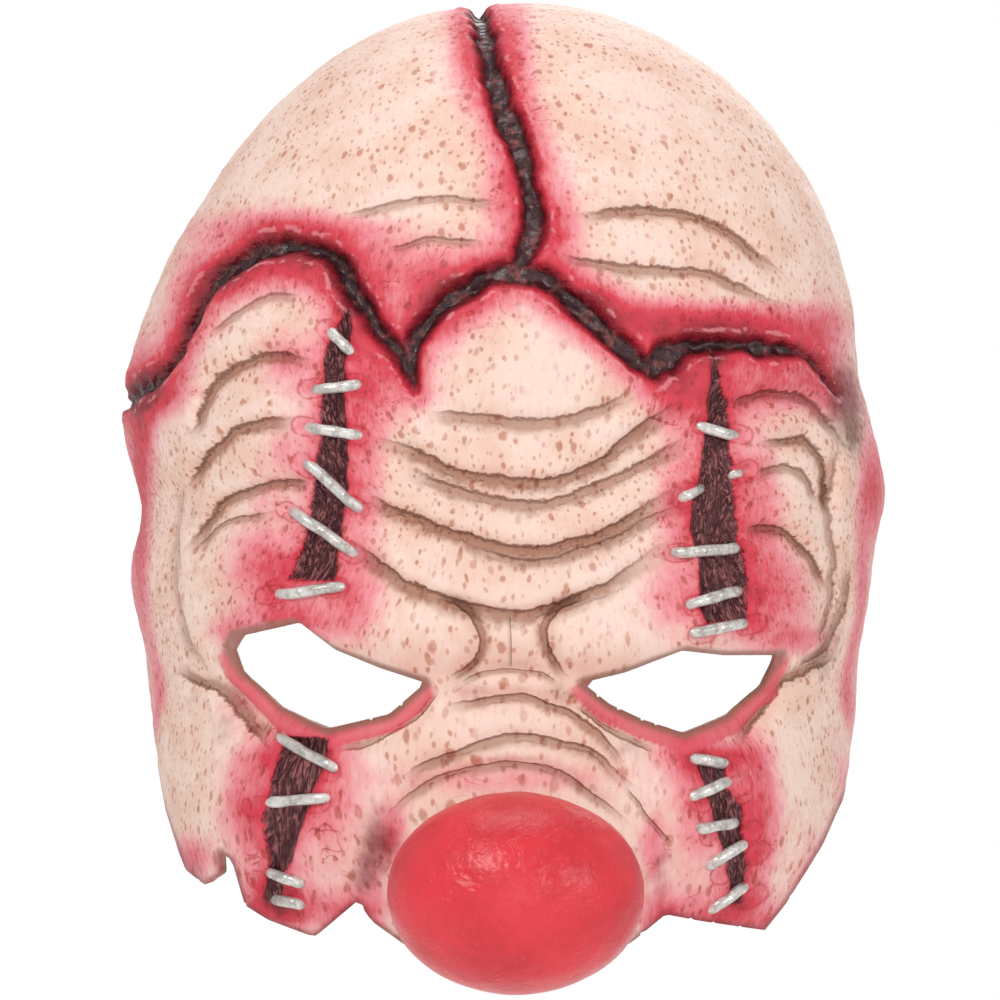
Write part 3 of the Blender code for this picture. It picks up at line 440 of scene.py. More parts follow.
def gashRelief(x, z, flatX, flatZ, relief):
    # A hollow with steep sides whose floor is laid with strands that run down the wound
    beyond = np.full(x.shape, gashShape["reach"])
    for rows in gashes.values():
        points = [(left, row) for row, left, _ in rows] + [(right, row) for row, _, right in reversed(rows)]
        beyond = np.minimum(beyond, outsideOf(fromPhoto(points), x, z, gashShape["reach"] / 1000.0) * 1000.0)
    beyond = beyond + 0.40 * lumps(flatX, flatZ, 0.0040, 7) + 0.22 * lumps(flatX, flatZ, 0.0022, 8)
    sway = 0.0012 * lumps(flatX, flatZ, 0.0080, 9)
    strand = 1.0 - 2.0 * np.abs(lumps((flatX + sway) * 2.2, flatZ, 0.0064, 10))
    inside = 1.0 - smoothStep(-1.5, 0.6, beyond)
    relief["outer"] -= inside * (gashShape["depth"] - gashShape["strand"] * strand)
    broken = 0.7 + 0.6 * lumps(flatX, flatZ, 0.0045, 11)
    relief["outer"] += gashShape["lip"] * broken * hill(beyond - 1.2, 1.0)
    relief["inner"] -= 1.9 * hill(np.clip(beyond, 0.0, None), 3.5)
    relief["gashGap"] = beyond


def lidRelief(x, z, relief):
    # Below each eye hole the edge curls in, with a roll and a groove outside it; above, the brow rounds off
    relief["lid"], relief["holeGap"] = np.zeros(x.shape), np.full(x.shape, 20.0)
    for eye in (eyeLeft, eyeRight):
        outline = inMetres(eye)
        gap = outsideOf(outline, x, z) * 1000.0
        low, high = outline[np.argmin(outline[:, 0])], outline[np.argmax(outline[:, 0])]
        middle = np.interp(x, (low[0], high[0]), (low[1], high[1]))
        lower = 1.0 - smoothStep(-0.0015, 0.0020, z - middle)
        within = smoothStep(-0.006, 0.002, x - low[0]) * (1.0 - smoothStep(-0.002, 0.006, x - high[0]))
        lower = lower * within
        relief["outer"] += lower * (0.9 * hill(gap - 3.0, 1.3) - 0.7 * hill(gap - 5.6, 1.3))
        relief["outer"] -= lower * 1.2 * (1.0 - smoothStep(0.2, 2.2, gap))
        relief["outer"] -= (1.0 - lower) * 0.9 * (1.0 - smoothStep(-0.5, 2.0, gap))
        relief["lid"] = np.maximum(relief["lid"], lower * (1.0 - smoothStep(3.6, 5.4, gap)))
        relief["holeGap"] = np.minimum(relief["holeGap"], gap)


def stitchRelief(x, z, relief):
    # The skin dips under each end of a stitch and puckers in a ring round it
    relief["ringGap"] = np.full(x.shape, 8.0)
    for row in stitches.values():
        ends = fromPhoto(row)
        run = (ends[1] - ends[0]) / np.linalg.norm(ends[1] - ends[0])
        for end, way in zip(ends, (1.0, -1.0)):
            along = way * ((x - end[0]) * run[0] + (z - end[1]) * run[1]) * 1000.0
            across = ((x - end[0]) * run[1] - (z - end[1]) * run[0]) * 1000.0
            gap = np.hypot(along - np.clip(along, 0.6, 3.0), across)
            relief["outer"] += 0.40 * hill(gap - 2.4, 0.8) - 0.60 * hill(gap, 1.3)
            relief["ringGap"] = np.minimum(relief["ringGap"], gap)


def skinRelief(x, z, flatX, flatZ):  # all heights in metres, and what the paint follows
    relief = {}
    creaseRelief(x, z, flatX, flatZ, relief)
    crackRelief(x, z, flatX, flatZ, relief)
    gashRelief(x, z, flatX, flatZ, relief)
    lidRelief(x, z, relief)
    stitchRelief(x, z, relief)
    relief["outer"] += spots(bumps, x, z)
    relief["outer"] += 0.22 * lumps(flatX, flatZ, 0.0110, 12) + 0.13 * lumps(flatX, flatZ, 0.0042, 13)
    relief["outer"] = np.maximum(relief["outer"], relief["inner"] - 0.8)
    broad = swellHeight(x, z)
    relief["outer"] = broad + relief["outer"] / 1000.0
    relief["inner"] = broad + relief["inner"] / 1000.0
    halo = 1.10 * np.exp(-np.clip(relief["crackGap"], 0.0, None) / 4.4)
    halo += 0.70 * np.exp(-np.clip(relief["gashGap"], 0.0, None) / 3.4)
    aroundStitch = 1.0 - smoothStep(1.0, 4.0, relief["ringGap"])
    relief["blush"] = halo + 0.85 * spots(blushes, x, z) + 0.15 * aroundStitch
    # how strongly the grey-brown painted shade darkens each hollow
    relief["hollowShade"] = spots(hollowShadeSpots, x, z)
    return relief


def flattened(places, back):  # the flat round seat of the nose, blended into the skin about it
    seatWidth = nose["halfWidth"] * nose["neckShare"] + nose["seatMargin"]
    seatHeight = nose["halfHeight"] * nose["neckShare"] + nose["seatMargin"]
    around = noseOval(places[..., 0], places[..., 2], seatWidth, seatHeight)
    flat = 1.0 - smoothStep(0.0, nose["seatBlend"], around)
    places[..., 1] += flat * (nose["seatY"] + back - places[..., 1])
    return places


def pastEdges(u, w, places):  # how far a place is past an edge of the latex, positive where there is none
    x, z = places[..., 0], places[..., 2]
    wrap = form["sideWrap"] * alongOutline(np.arctan2(w, u), 2)
    past = [(np.hypot(u, w) - 1.0) * form["wallRun"] - wrap, outsideOf(inMetres(lowerEdge), x, z)]
    past += [-outsideOf(inMetres(eye), x, z) for eye in (eyeLeft, eyeRight)]
    boreWidth = nose["halfWidth"] * nose["neckShare"] - nose["wall"]
    boreHeight = nose["halfHeight"] * nose["neckShare"] - nose["wall"]
    past.append(-noseOval(x, z, boreWidth, boreHeight))
    return np.max(past, axis=0)


skin = {"columns": 300, "rows": 380, "frontDensity": 0.16, "stretch": 1.45}
skinPaint = ("crease0", "crease1", "crease2", "shade0", "shade1", "shade2", "crackGap", "gashGap", "blush",
             "hollowShade", "lid", "holeGap", "ringGap", "edgeGap", "inside", "flatX", "flatZ")


def skinPlaces(u, w):  # outer and inner face of the latex, and the relief they come from
    base, normal = headForm(u, w), formNormal(u, w)
    flatX, flatZ = u * form["halfWidth"] * skin["stretch"], w * form["crownRise"] * skin["stretch"]
    relief = skinRelief(base[..., 0], base[..., 2], flatX, flatZ)
    outer = flattened(base + normal * relief["outer"][..., None], 0.0)
    inner = flattened(base + normal * (relief["inner"] - form["wall"])[..., None], form["wall"])
    relief["flatX"], relief["flatZ"] = flatX, flatZ
    return outer, inner, relief


def shifted(values, axis, step):  # each grid place's neighbour, and past the border the place itself
    index = np.clip(np.arange(values.shape[axis]) + step, 0, values.shape[axis] - 1)
    return np.take(values, index, axis=axis)


def drawnToEdges(u, w, past):  # moves the grid places beside an edge on to it, and says which they are
    nearest = np.full(past.shape, np.inf)
    newU, newW = u.copy(), w.copy()
    for axis, step in ((0, -1), (0, 1), (1, -1), (1, 1)):
        beyond = shifted(past, axis, step)
        crosses = past * beyond < 0
        share = np.where(crosses, past / np.where(crosses, past - beyond, 1.0), np.inf)
        take = (share <= 0.5) & (share < nearest)
        nearest = np.where(take, share, nearest)
        share = np.where(take, share, 0.0)
        newU = np.where(take, u + share * (shifted(u, axis, step) - u), newU)
        newW = np.where(take, w + share * (shifted(w, axis, step) - w), newW)
    return newU, newW, np.isfinite(nearest)


def meshFrom(name, places, corners, sizes):  # a mesh from a run of corner numbers and the count in each face
    used, corners = np.unique(corners, return_inverse=True)
    mesh = bpy.data.meshes.new(name)
    mesh.vertices.add(len(used))
    mesh.vertices.foreach_set("co", places[used].astype(np.float32).ravel())
    mesh.loops.add(len(corners))
    mesh.loops.foreach_set("vertex_index", corners.ravel().astype(np.int32))
    mesh.polygons.add(len(sizes))
    mesh.polygons.foreach_set("loop_start", np.concatenate([[0], np.cumsum(sizes)[:-1]]).astype(np.int32))
    mesh.polygons.foreach_set("use_smooth", np.ones(len(sizes), bool))
    mesh.update(calc_edges=True)
    mesh.validate()
    return mesh, used


def madePiece(name, mesh, material, slot, *nodes):
    piece = bpy.data.objects.new(name, mesh)
    mesh.materials.append(material)
    bpy.context.scene.collection.objects.link(piece)
    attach(piece, "root")
    if nodes:
        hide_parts(*nodes)
    return piece


def borderRuns(faces):  # the directed edges that only one face uses
    pairs = [np.stack([group, np.roll(group, -1, axis=1)], axis=-1) for group in faces]
    edges = np.concatenate([group.reshape(-1, 2) for group in pairs])
    low, high = edges.min(axis=1), edges.max(axis=1)
    _, first, count = np.unique(low * (high.max() + 1) + high, return_index=True, return_counts=True)
    return edges[first[count == 1]]


def makeSkin(material):
    # The sheet is snapped to its edges, the inner wall merges cells two by two, and a rim strip joins both
    span = 1.0 + 1.4 * form["sideWrap"] / form["wallRun"]
    rows, columns = skin["rows"], skin["columns"]
    a, b = np.meshgrid(np.linspace(-span, span, columns + 1), np.linspace(-span, span, rows + 1))
    warp = 1.0 - skin["frontDensity"] * (1.0 - np.hypot(a, b) ** 2 / span**2)
    u, w = a * warp, b * warp
    outer, _, _ = skinPlaces(u, w)
    past = pastEdges(u, w, outer)
    u, w, onEdge = drawnToEdges(u, w, past)
    outer, inner, relief = skinPlaces(u, w)
    relief["edgeGap"] = np.clip(-pastEdges(u, w, outer) * 1000.0, 0.0, 20.0)
    kept = (past <= 0) | onEdge
    number = np.arange(kept.size).reshape(kept.shape)
    cells = np.stack([number[:-1, :-1], number[:-1, 1:], number[1:, 1:], number[1:, :-1]], axis=-1)
    there = kept.ravel()[cells]
    inward = (past.ravel()[cells] * there).sum(axis=-1) < 0
    whole = there.all(axis=-1) & inward
    quads = cells[whole]
    cut = (there.sum(axis=-1) == 3) & inward
    triangles = cells[cut][there[cut]].reshape(-1, 3)
    border = borderRuns([quads, triangles])
    blocks = whole.reshape(rows // 2, 2, columns // 2, 2).all(axis=(1, 3))
    padded = np.pad(blocks, 1)
    ring = [number[:-1:2, :-1:2], number[:-1:2, 1::2], number[:-1:2, 2::2], number[1::2, 2::2],
            number[2::2, 2::2], number[2::2, 1::2], number[2::2, :-1:2], number[1::2, :-1:2]]
    beside = {1: padded[:-2, 1:-1], 3: padded[1:-1, 2:], 5: padded[2:, 1:-1], 7: padded[1:-1, :-2]}
    for place, neighbour in beside.items():
        ring[place] = np.where(neighbour, -1, ring[place])
    ring = np.stack(ring, axis=-1)[blocks][:, ::-1]
    coarse = np.repeat(np.repeat(blocks, 2, axis=0), 2, axis=1)
    fine = cells[whole & ~coarse][:, ::-1]
    size = kept.size
    rim = np.stack([border[:, 1], border[:, 0], border[:, 0] + size, border[:, 1] + size], axis=-1)
    corners = [quads.ravel(), triangles.ravel(), ring[ring >= 0] + size, fine.ravel() + size]
    corners += [triangles[:, ::-1].ravel() + size, rim.ravel()]
    sizes = [np.full(len(quads), 4), np.full(len(triangles), 3), (ring >= 0).sum(axis=1), np.full(len(fine), 4)]
    sizes += [np.full(len(triangles), 3), np.full(len(rim), 4)]
    places = np.concatenate([outer.reshape(-1, 3), inner.reshape(-1, 3)])
    mesh, used = meshFrom("maskLatex", places, np.concatenate(corners), np.concatenate(sizes))
    relief["inside"] = np.zeros(u.shape)
    for name in skinPaint:
        values = np.concatenate([relief[name].ravel(), relief[name].ravel()])
        if name == "inside":
            values[size:] = 1.0
        mesh.attributes.new(name, "FLOAT", "POINT").data.foreach_set("value", values[used].astype(np.float32))
    return madePiece("maskLatex", mesh, material, "skin_latex", "mask_skin")


class Wire:  # one socket, on which + - * / add Math nodes
    def __init__(self, recipe, socket):
        self.recipe = recipe
        self.socket = socket

    def maths(self, operation, first, second=0.0):
        return self.recipe.add("ShaderNodeMath", {"operation": operation}, {0: first, 1: second})

    def __add__(self, other):
        return self.maths("ADD", self, other)

    def __radd__(self, other):
        return self.maths("ADD", other, self)

    def __sub__(self, other):
        return self.maths("SUBTRACT", self, other)

    def __rsub__(self, other):
        return self.maths("SUBTRACT", other, self)

    def __mul__(self, other):
        return self.maths("MULTIPLY", self, other)

    def __rmul__(self, other):
        return self.maths("MULTIPLY", other, self)

    def __truediv__(self, other):
        return self.maths("DIVIDE", self, other)

    def __abs__(self):
        return self.maths("ABSOLUTE", self)


class Recipe:  # one material and the nodes of its Principled shader
    def __init__(self, name, dimensions="3D", **constants):
        self.dimensions = dimensions
        self.material = bpy.data.materials.new(name)
        self.material.use_nodes = True
        self.tree = self.material.node_tree
        self.shader = self.tree.nodes["Principled BSDF"]
        self.plug(self.shader, {key.replace("_", " "): value for key, value in constants.items()})

    def plug(self, node, sockets):
        for key, value in sockets.items():
            if isinstance(value, Wire):
                self.tree.links.new(value.socket, node.inputs[key])
            else:
                node.inputs[key].default_value = value

    def add(self, kind, settings, sockets, output=0):
        node = self.tree.nodes.new(kind)
        for key, value in settings.items():
            setattr(node, key, value)
        self.plug(node, sockets)
        return Wire(self, node.outputs[output])

    def value(self, name):
        return self.add("ShaderNodeAttribute", {"attribute_name": name}, {}, 2)

    def vector(self, x, y, z=0.0):
        return self.add("ShaderNodeCombineXYZ", {}, {0: x, 1: y, 2: z})

    def noise(self, place, size, detail=3.0, distortion=0.0):  # from about -0.5 to 0.5, with lumps of that size
        sockets = {"Vector": place, "Scale": 1.0 / size, "Detail": detail, "Distortion": distortion}
        return self.add("ShaderNodeTexNoise", {"noise_dimensions": self.dimensions}, sockets) - 0.5

    def cells(self, place, size, output=0):
        sockets = {"Vector": place, "Scale": 1.0 / size}
        return self.add("ShaderNodeTexVoronoi", {"voronoi_dimensions": self.dimensions}, sockets, output)

    def step(self, value, low, high):  # an S from 0 at low to 1 at high
        sockets = {"Value": value, "From Min": low, "From Max": high}
        return self.add("ShaderNodeMapRange", {"interpolation_type": "SMOOTHSTEP"}, sockets)

    def mix(self, factor, first, second, blend="MIX"):
        settings = {"data_type": "RGBA", "blend_type": blend}
        return self.add("ShaderNodeMix", settings, {0: factor, 6: first, 7: second}, 2)

    def bump(self, millimetres):
        return self.add("ShaderNodeBump", {}, {"Strength": 1.0, "Distance": 0.001, "Height": millimetres})


def tint(red, green, blue):  # a colour as it shows on a screen, from 0 to 255, in the shader's linear values
    levels = [level / 255.0 for level in (red, green, blue)]
    linear = [level / 12.92 if level <= 0.04045 else ((level + 0.055) / 1.055) ** 2.4 for level in levels]
    return (*linear, 1.0)


# Painted light among these colours: the brown fold wash is partly painted shade, the dark fold line a painted
# shadow line, and the grey-brown hollow colour a painted shade
skinColours = {
    "cream": tint(249, 219, 205), "warmCream": tint(240, 200, 180), "pink": tint(240, 142, 152),
    "red": tint(214, 44, 66), "deepRed": tint(134, 18, 34), "foldWashAndShade": (0.45, 0.29, 0.21, 1.0),
    "creaseShadowLine": (0.26, 0.12, 0.08, 1.0), "speck": (0.63, 0.38, 0.29, 1.0),
    "streak": (0.66, 0.42, 0.33, 1.0), "vein": (0.60, 0.22, 0.18, 1.0), "hollowShade": (0.26, 0.17, 0.14, 1.0),
    "fleshDark": tint(78, 34, 40), "fleshLight": tint(172, 104, 104), "crackDark": tint(46, 27, 30),
    "crackLight": tint(128, 70, 70), "tornLip": tint(242, 150, 156), "lid": tint(224, 78, 96),
    "lidEdge": tint(150, 108, 92), "rim": tint(150, 50, 56), "inside": tint(196, 160, 126),
    "insideDark": tint(150, 112, 82), "ring": tint(186, 26, 42),
}


def paintSkin():
    # Cream latex, airbrushed red over it, brown washes with painted shade and painted shadow lines in the
    # folds, painted shade in the hollows, brushed specks, raw wounds and wet black cracks
    p = Recipe("airbrushedLatex", "2D", Specular_IOR_Level=0.45)
    c = skinColours
    flatX, flatZ = p.value("flatX"), p.value("flatZ")
    place = p.vector(flatX, flatZ)
    fine, middle, broad = p.noise(place, 0.0011, 2.0), p.noise(place, 0.0034, 3.0), p.noise(place, 0.016, 2.0)
    brushed = p.noise(p.vector(flatX * 2.6, flatZ * 0.7), 0.0022, 3.0, 0.6)
    colour = p.mix(p.step(broad + middle * 0.3, -0.2, 0.25), c["cream"], c["warmCream"])
    crowding = p.step(broad + middle * 0.4, -0.34, 0.06)
    speck = 0.0
    for size, across, up, least, most in ((0.0034, 1.0, 0.60, 0.08, 0.27), (0.0022, 1.20, 0.72, 0.08, 0.28)):
        spread = p.vector(flatX * across + middle * 0.0012, flatZ * up + fine * 0.0006)
        chance = p.add("ShaderNodeSeparateColor", {}, {0: p.cells(spread, size, 1)})
        radius = chance * (most - least) + least
        dot = 1.0 - p.step(p.cells(spread, size) / radius, 0.50, 1.0)
        speck = speck + dot * (chance * 0.7 + 0.3) * crowding
    side = p.step(abs(flatX), 0.070, 0.105)
    streaks = p.step(brushed, 0.02, 0.24) * (side * 0.75 + 0.14)
    blush = p.value("blush")
    pinkness = p.step(blush + middle * 0.25 + brushed * 0.20, 0.10, 0.62)
    redness = p.step(blush + middle * 0.30 + brushed * 0.40, 0.46, 1.06)
    deepness = p.step(blush + middle * 0.45, 1.02, 1.60)
    colour = p.mix(streaks, colour, c["streak"], "MULTIPLY")
    colour = p.mix(pinkness * 0.92, colour, c["pink"])
    colour = p.mix(redness * 0.96, colour, c["red"])
    colour = p.mix(deepness * 0.90, colour, c["deepRed"])
    colour = p.mix(speck * 0.88, colour, c["speck"], "MULTIPLY")
    wrinkle = abs(p.noise(place, 0.0105, 2.0, 1.6))
    veined = p.step(middle + broad, 0.0, 0.16) * p.step(blush, 0.10, 0.45)
    veins = (1.0 - p.step(wrinkle, 0.004, 0.016)) * veined
    colour = p.mix(veins * 0.75, colour, c["vein"], "MULTIPLY")
    creaseShadowLines = 0.0
    # Along each crease a brown wash with painted shade lies below the step, with painted shadow lines at the
    # crease
    for layer in range(3):
        across = p.value(f"crease{layer}") + fine * 0.22 + middle * 0.34
        shade = p.value(f"shade{layer}")
        washAndShade = p.step(across, -0.20, 0.02) * (1.0 - p.step(across + middle * 0.8, 0.35, 1.20)) * shade
        line = (1.0 - p.step(abs(across), 0.0, 0.15)) * shade
        second = 1.0 - p.step(abs(across - 0.52 + broad * 0.8), 0.0, 0.10)
        line = line + second * shade * p.step(middle, -0.02, 0.12) * 0.6
        colour = p.mix(washAndShade * 0.95, colour, c["foldWashAndShade"], "MULTIPLY")
        colour = p.mix(line * 0.60, colour, c["creaseShadowLine"], "MULTIPLY")
        creaseShadowLines = line + creaseShadowLines
    # grey-brown painted shade darkens the hollows
    colour = p.mix(p.step(p.value("hollowShade") + middle * 0.5, 0.10, 1.0) * 0.90, colour, c["hollowShade"], "MULTIPLY")
    ring = p.value("ringGap") + fine * 0.35
    ringMark = (1.0 - p.step(abs(ring - 2.2), 0.10, 0.42)) * p.step(middle + 0.25, 0.0, 0.2)
    colour = p.mix(ringMark * 0.50, colour, c["ring"])
    lid = p.value("lid")
    hole = p.value("holeGap") + fine * 0.5
    colour = p.mix(p.step(lid + middle * 0.4, 0.15, 0.75) * 0.85, colour, c["lid"])
    colour = p.mix((1.0 - p.step(hole, 0.7, 2.2)) * 0.80, colour, c["lidEdge"])
    edge = 1.0 - p.step(p.value("edgeGap") + fine * 0.6, 0.1, 1.8)
    colour = p.mix(edge * p.step(hole, 1.0, 4.0) * 0.75, colour, c["rim"])
    strands = p.noise(p.vector(flatX * 3.0, flatZ * 0.8), 0.0024, 3.0, 1.2)
    gash = p.value("gashGap") + fine * 0.8
    inGash = 1.0 - p.step(gash, -0.50, 0.30)
    flesh = p.mix(p.step(strands, -0.08, 0.22), c["fleshDark"], c["fleshLight"])
    colour = p.mix(inGash, colour, flesh)
    crack = p.value("crackGap") + fine * 0.9 + middle * 0.8
    nearCrack = 1.0 - p.step(crack, -0.6, 1.3)
    inCrack = 1.0 - p.step(crack, -1.3, 0.2)
    clots = p.cells(place, 0.0036)
    lip = (1.0 - p.step(abs(crack - 1.7), 0.15, 0.70)) * p.step(middle + broad * 0.5, -0.02, 0.12)
    colour = p.mix(nearCrack * 0.62, colour, c["deepRed"])
    colour = p.mix(lip * 0.55, colour, c["tornLip"])
    clotted = p.mix(p.step(middle + fine * 0.6, -0.02, 0.30), c["crackDark"], c["crackLight"])
    colour = p.mix(inCrack * 0.94, colour, clotted)
    inside = p.value("inside")
    lining = p.mix(p.step(middle + broad, -0.15, 0.3), c["inside"], c["insideDark"])
    colour = p.mix(p.step(inside, 0.35, 0.75), colour, lining)
    relief = fine * 0.10 + middle * 0.24 + brushed * 0.12 - creaseShadowLines * 0.40
    relief = relief + inGash * strands * 1.5 - inGash * 0.5 - inCrack * clots * 1.3 - nearCrack * 0.4
    wet = inCrack * 0.18 + inGash * 0.18 + redness * 0.06
    p.plug(p.shader, {"Base Color": colour, "Roughness": 0.54 - wet + middle * 0.12, "Normal": p.bump(relief)})
    return p.material


skinLatex = makeSkin(paintSkin())
print("skin triangles:", sum(len(face.vertices) - 2 for face in skinLatex.data.polygons))


def ringFaces(rings, sides):  # quads between rings of places, with a fan over each end
    number = np.arange(rings * sides).reshape(rings, sides)
    after = np.roll(number, -1, axis=1)
    quads = np.stack([number[:-1], after[:-1], after[1:], number[1:]], axis=-1).reshape(-1, 4)
    start, end = rings * sides, rings * sides + 1
    caps = [np.stack([after[0], number[0], np.full(sides, start)], axis=-1)]
    caps.append(np.stack([number[-1], after[-1], np.full(sides, end)], axis=-1))
    corners = np.concatenate([quads.ravel(), caps[0].ravel(), caps[1].ravel()])
    sizes = np.concatenate([np.full(len(quads), 4), np.full(2 * sides, 3)])
    return corners, sizes


noseLook = {
    "patches": ((458, 880, 26, 32, 1.0), (545, 876, 24, 22, 0.9), (505, 868, 16, 14, 0.45),
                (470, 930, 20, 12, 0.35), (600, 840, 16, 14, 0.35), (420, 900, 14, 30, 0.30)),
    "red": tint(232, 44, 58), "deepRed": tint(208, 26, 42), "dust": tint(240, 104, 108),
}


def noseHeight(x, z, y):  # crinkles gathered in two patches, and soft dents all over, in millimetres
    crinkle = 1.0 - 2.2 * np.abs(lumps(x + 0.4 * y, z, 0.0036, 21))
    crinkle += 0.6 * (1.0 - 2.0 * np.abs(lumps(x, z, 0.0019, 22)))
    patch = np.clip(spots(noseLook["patches"], x, z), 0.0, 1.0) * (y < nose["seatY"] - nose["neckBack"])
    dents = 0.32 * lumps(x + y, z - y, 0.0130, 23) + 0.10 * lumps(x + y, z - 0.7 * y, 0.0050, 24)
    return 0.26 * patch * crinkle + dents


def makeNose(material):
    # An outline turned from the tip to the neck and back inside, pressed into an upright oval
    y0 = nose["seatY"] - nose["seatGap"] - nose["neckBack"]
    outerEnd = math.asin(nose["neckBack"] / nose["halfDepth"])
    innerEnd = math.asin(nose["neckBack"] / (nose["halfDepth"] - nose["wall"]))
    outerLift = np.linspace(-0.5 * math.pi + 0.01, outerEnd, nose["rings"])
    innerLift = np.linspace(innerEnd, -0.5 * math.pi + 0.02, nose["innerRings"])
    lift = np.concatenate([outerLift, innerLift])[:, None]
    shrink = np.concatenate([np.zeros(nose["rings"]), np.full(nose["innerRings"], nose["wall"])])[:, None]
    turn = np.linspace(0.0, 2.0 * math.pi, nose["sides"], endpoint=False)[None, :]
    heightShare = nose["halfHeight"] / nose["halfWidth"]
    across = np.cos(lift) * np.cos(turn)
    up = np.cos(lift) * np.sin(turn)
    deep = np.sin(lift) + 0.0 * turn
    x = nose["x"] + (nose["halfWidth"] - shrink) * across
    y = y0 + (nose["halfDepth"] - shrink) * deep
    z = nose["z"] + (nose["halfWidth"] - shrink) * heightShare * up
    height = noseHeight(x, z, y) / 1000.0 * (shrink == 0) * (1.0 - smoothStep(0.5, 1.0, lift / outerEnd))
    places = np.stack([x + height * across, y + height * deep, z + height * up], axis=-1)
    tips = np.stack([places[0].mean(axis=0), places[-1].mean(axis=0)])
    corners, sizes = ringFaces(len(lift), nose["sides"])
    mesh, _ = meshFrom("noseLatex", np.concatenate([places.reshape(-1, 3), tips]), corners, sizes)
    return madePiece("noseLatex", mesh, material, "nose_latex", "nose_bulb")


def paintNose():  # glossy red latex: faint cloudy tone, a painted highlight of lighter pink on the crests, and a skin of fine wrinkles
    p = Recipe("glossRedLatex", Specular_IOR_Level=0.5, Coat_Weight=0.25, Coat_Roughness=0.22)
    place = p.add("ShaderNodeTexCoord", {}, {}, 3)
    cloud, fine = p.noise(place, 0.020, 3.0), p.noise(place, 0.0012, 3.0)
    middle = p.noise(place, 0.0045, 4.0, 0.8)
    colour = p.mix(p.step(cloud + middle * 0.4, -0.25, 0.25), noseLook["red"], noseLook["deepRed"])
    # painted highlight: lighter pink where the bumps rise
    colour = p.mix(p.step(middle + fine * 0.4, 0.12, 0.36) * 0.35, colour, noseLook["dust"])
    relief = middle * 0.30 + fine * 0.06 + abs(p.noise(place, 0.0030, 2.0, 1.5)) * -0.5
    p.plug(p.shader, {"Base Color": colour, "Roughness": 0.34 + middle * 0.25, "Normal": p.bump(relief)})
    return p.material


noseLatex = makeNose(paintNose())
print("nose:", len(noseLatex.data.polygons), "faces")

stitchShape = {
    "radius": 0.00136, "flat": 0.84, "rings": 32, "sides": 16, "sink": 0.0006, "endDip": 0.0011,
    "sway": 0.00025,
}


def tautOver(depths):  # a thread pulled tight over a row of depths, lowest y outermost
    bends = [0]
    while bends[-1] < len(depths) - 1:
        here = bends[-1]
        ahead = range(here + 1, len(depths))
        bends.append(min(ahead, key=lambda there: (depths[there] - depths[here]) / (there - here)))
    return np.interp(range(len(depths)), bends, [depths[bend] for bend in bends])


def makeStitch(name, ends, tree, material, seed):
    # A bar pulled tight over the skin, with round ends that dip into it and a hand-laid sway
    s = stitchShape
    share = 0.5 - 0.5 * np.cos(np.linspace(0.04, math.pi - 0.04, s["rings"]))
    first, last = fromPhoto(ends)
    length = np.linalg.norm(last - first)
    run = (last - first) / length
    away = np.linspace(0.0, 1.0, s["rings"])[:, None]
    middle = first + (last - first) * away
    hits = [tree.ray_cast(Vector((x, -1.0, z)), Vector((0.0, 1.0, 0.0)))[0] for x, z in middle]
    farthest = max(hit.y for hit in hits if hit is not None)
    depths = np.array([farthest if hit is None else hit.y for hit in hits])
    depth = np.interp(share, away[:, 0], tautOver(depths))
    sway = s["sway"] * lumps(share * 4.0, np.full(share.shape, 0.5), 1.0, seed)
    thick = s["radius"] * (1.0 + 0.10 * lumps(share * 6.0, np.full(share.shape, 0.5), 1.0, seed + 40))
    fromEnd = np.minimum(share, 1.0 - share) * length
    rounding = np.sqrt(np.clip(1.0 - (1.0 - np.clip(fromEnd / (1.3 * s["radius"]), 0.0, 1.0)) ** 2, 0.0, 1.0))
    dip = s["endDip"] * (1.0 - smoothStep(0.0, 3.0 * s["radius"], fromEnd))
    x = first[0] + (last[0] - first[0]) * share - run[1] * sway
    z = first[1] + (last[1] - first[1]) * share + run[0] * sway
    y = depth - s["sink"] + dip
    turn = np.linspace(0.0, 2.0 * math.pi, s["sides"], endpoint=False)
    out = (thick * rounding)[:, None]
    aside, forward = out * np.cos(turn), out * s["flat"] * np.sin(turn)
    places = np.stack([x[:, None] - run[1] * aside, y[:, None] - forward, z[:, None] + run[0] * aside], axis=-1)
    tips = np.stack([places[0].mean(axis=0), places[-1].mean(axis=0)])
    corners, sizes = ringFaces(s["rings"], s["sides"])
    pieceName = "".join(word.capitalize() if place else word for place, word in enumerate(name.split("_")))
    mesh, _ = meshFrom(pieceName, np.concatenate([places.reshape(-1, 3), tips]), corners, sizes)
    madePiece(pieceName, mesh, material, "stitch_silver", name)


def paintStitches():  # silver brushed over cast latex, rubbed bright along the crests and dirty in the pits
    p = Recipe("brushedSilver", Specular_IOR_Level=0.6)
    place = p.add("ShaderNodeTexCoord", {}, {}, 3)
    fine, middle = p.noise(place, 0.0008, 3.0), p.noise(place, 0.0026, 4.0, 0.5)
    colour = p.mix(p.step(middle + fine * 0.5, -0.18, 0.22), tint(230, 227, 222), tint(178, 172, 166))
    colour = p.mix(p.step(fine + middle, 0.24, 0.42) * 0.6, colour, tint(110, 80, 74))
    relief = fine * 0.12 + middle * 0.35
    p.plug(p.shader, {"Base Color": colour, "Roughness": 0.30 + fine * 0.4, "Metallic": 0.40 - middle * 0.3,
                      "Normal": p.bump(relief)})
    return p.material


skinTree = BVHTree.FromObject(skinLatex, bpy.context.evaluated_depsgraph_get())
silver = paintStitches()
for seed, (name, ends) in enumerate(stitches.items(), 50):
    makeStitch(name, ends, skinTree, silver, seed)
print("stitches:", len(stitches))

strap = {"width": 0.0100, "thickness": 0.0012, "ribs": 9, "ribDepth": 0.00012, "steps": 5, "loopY": 0.0632}


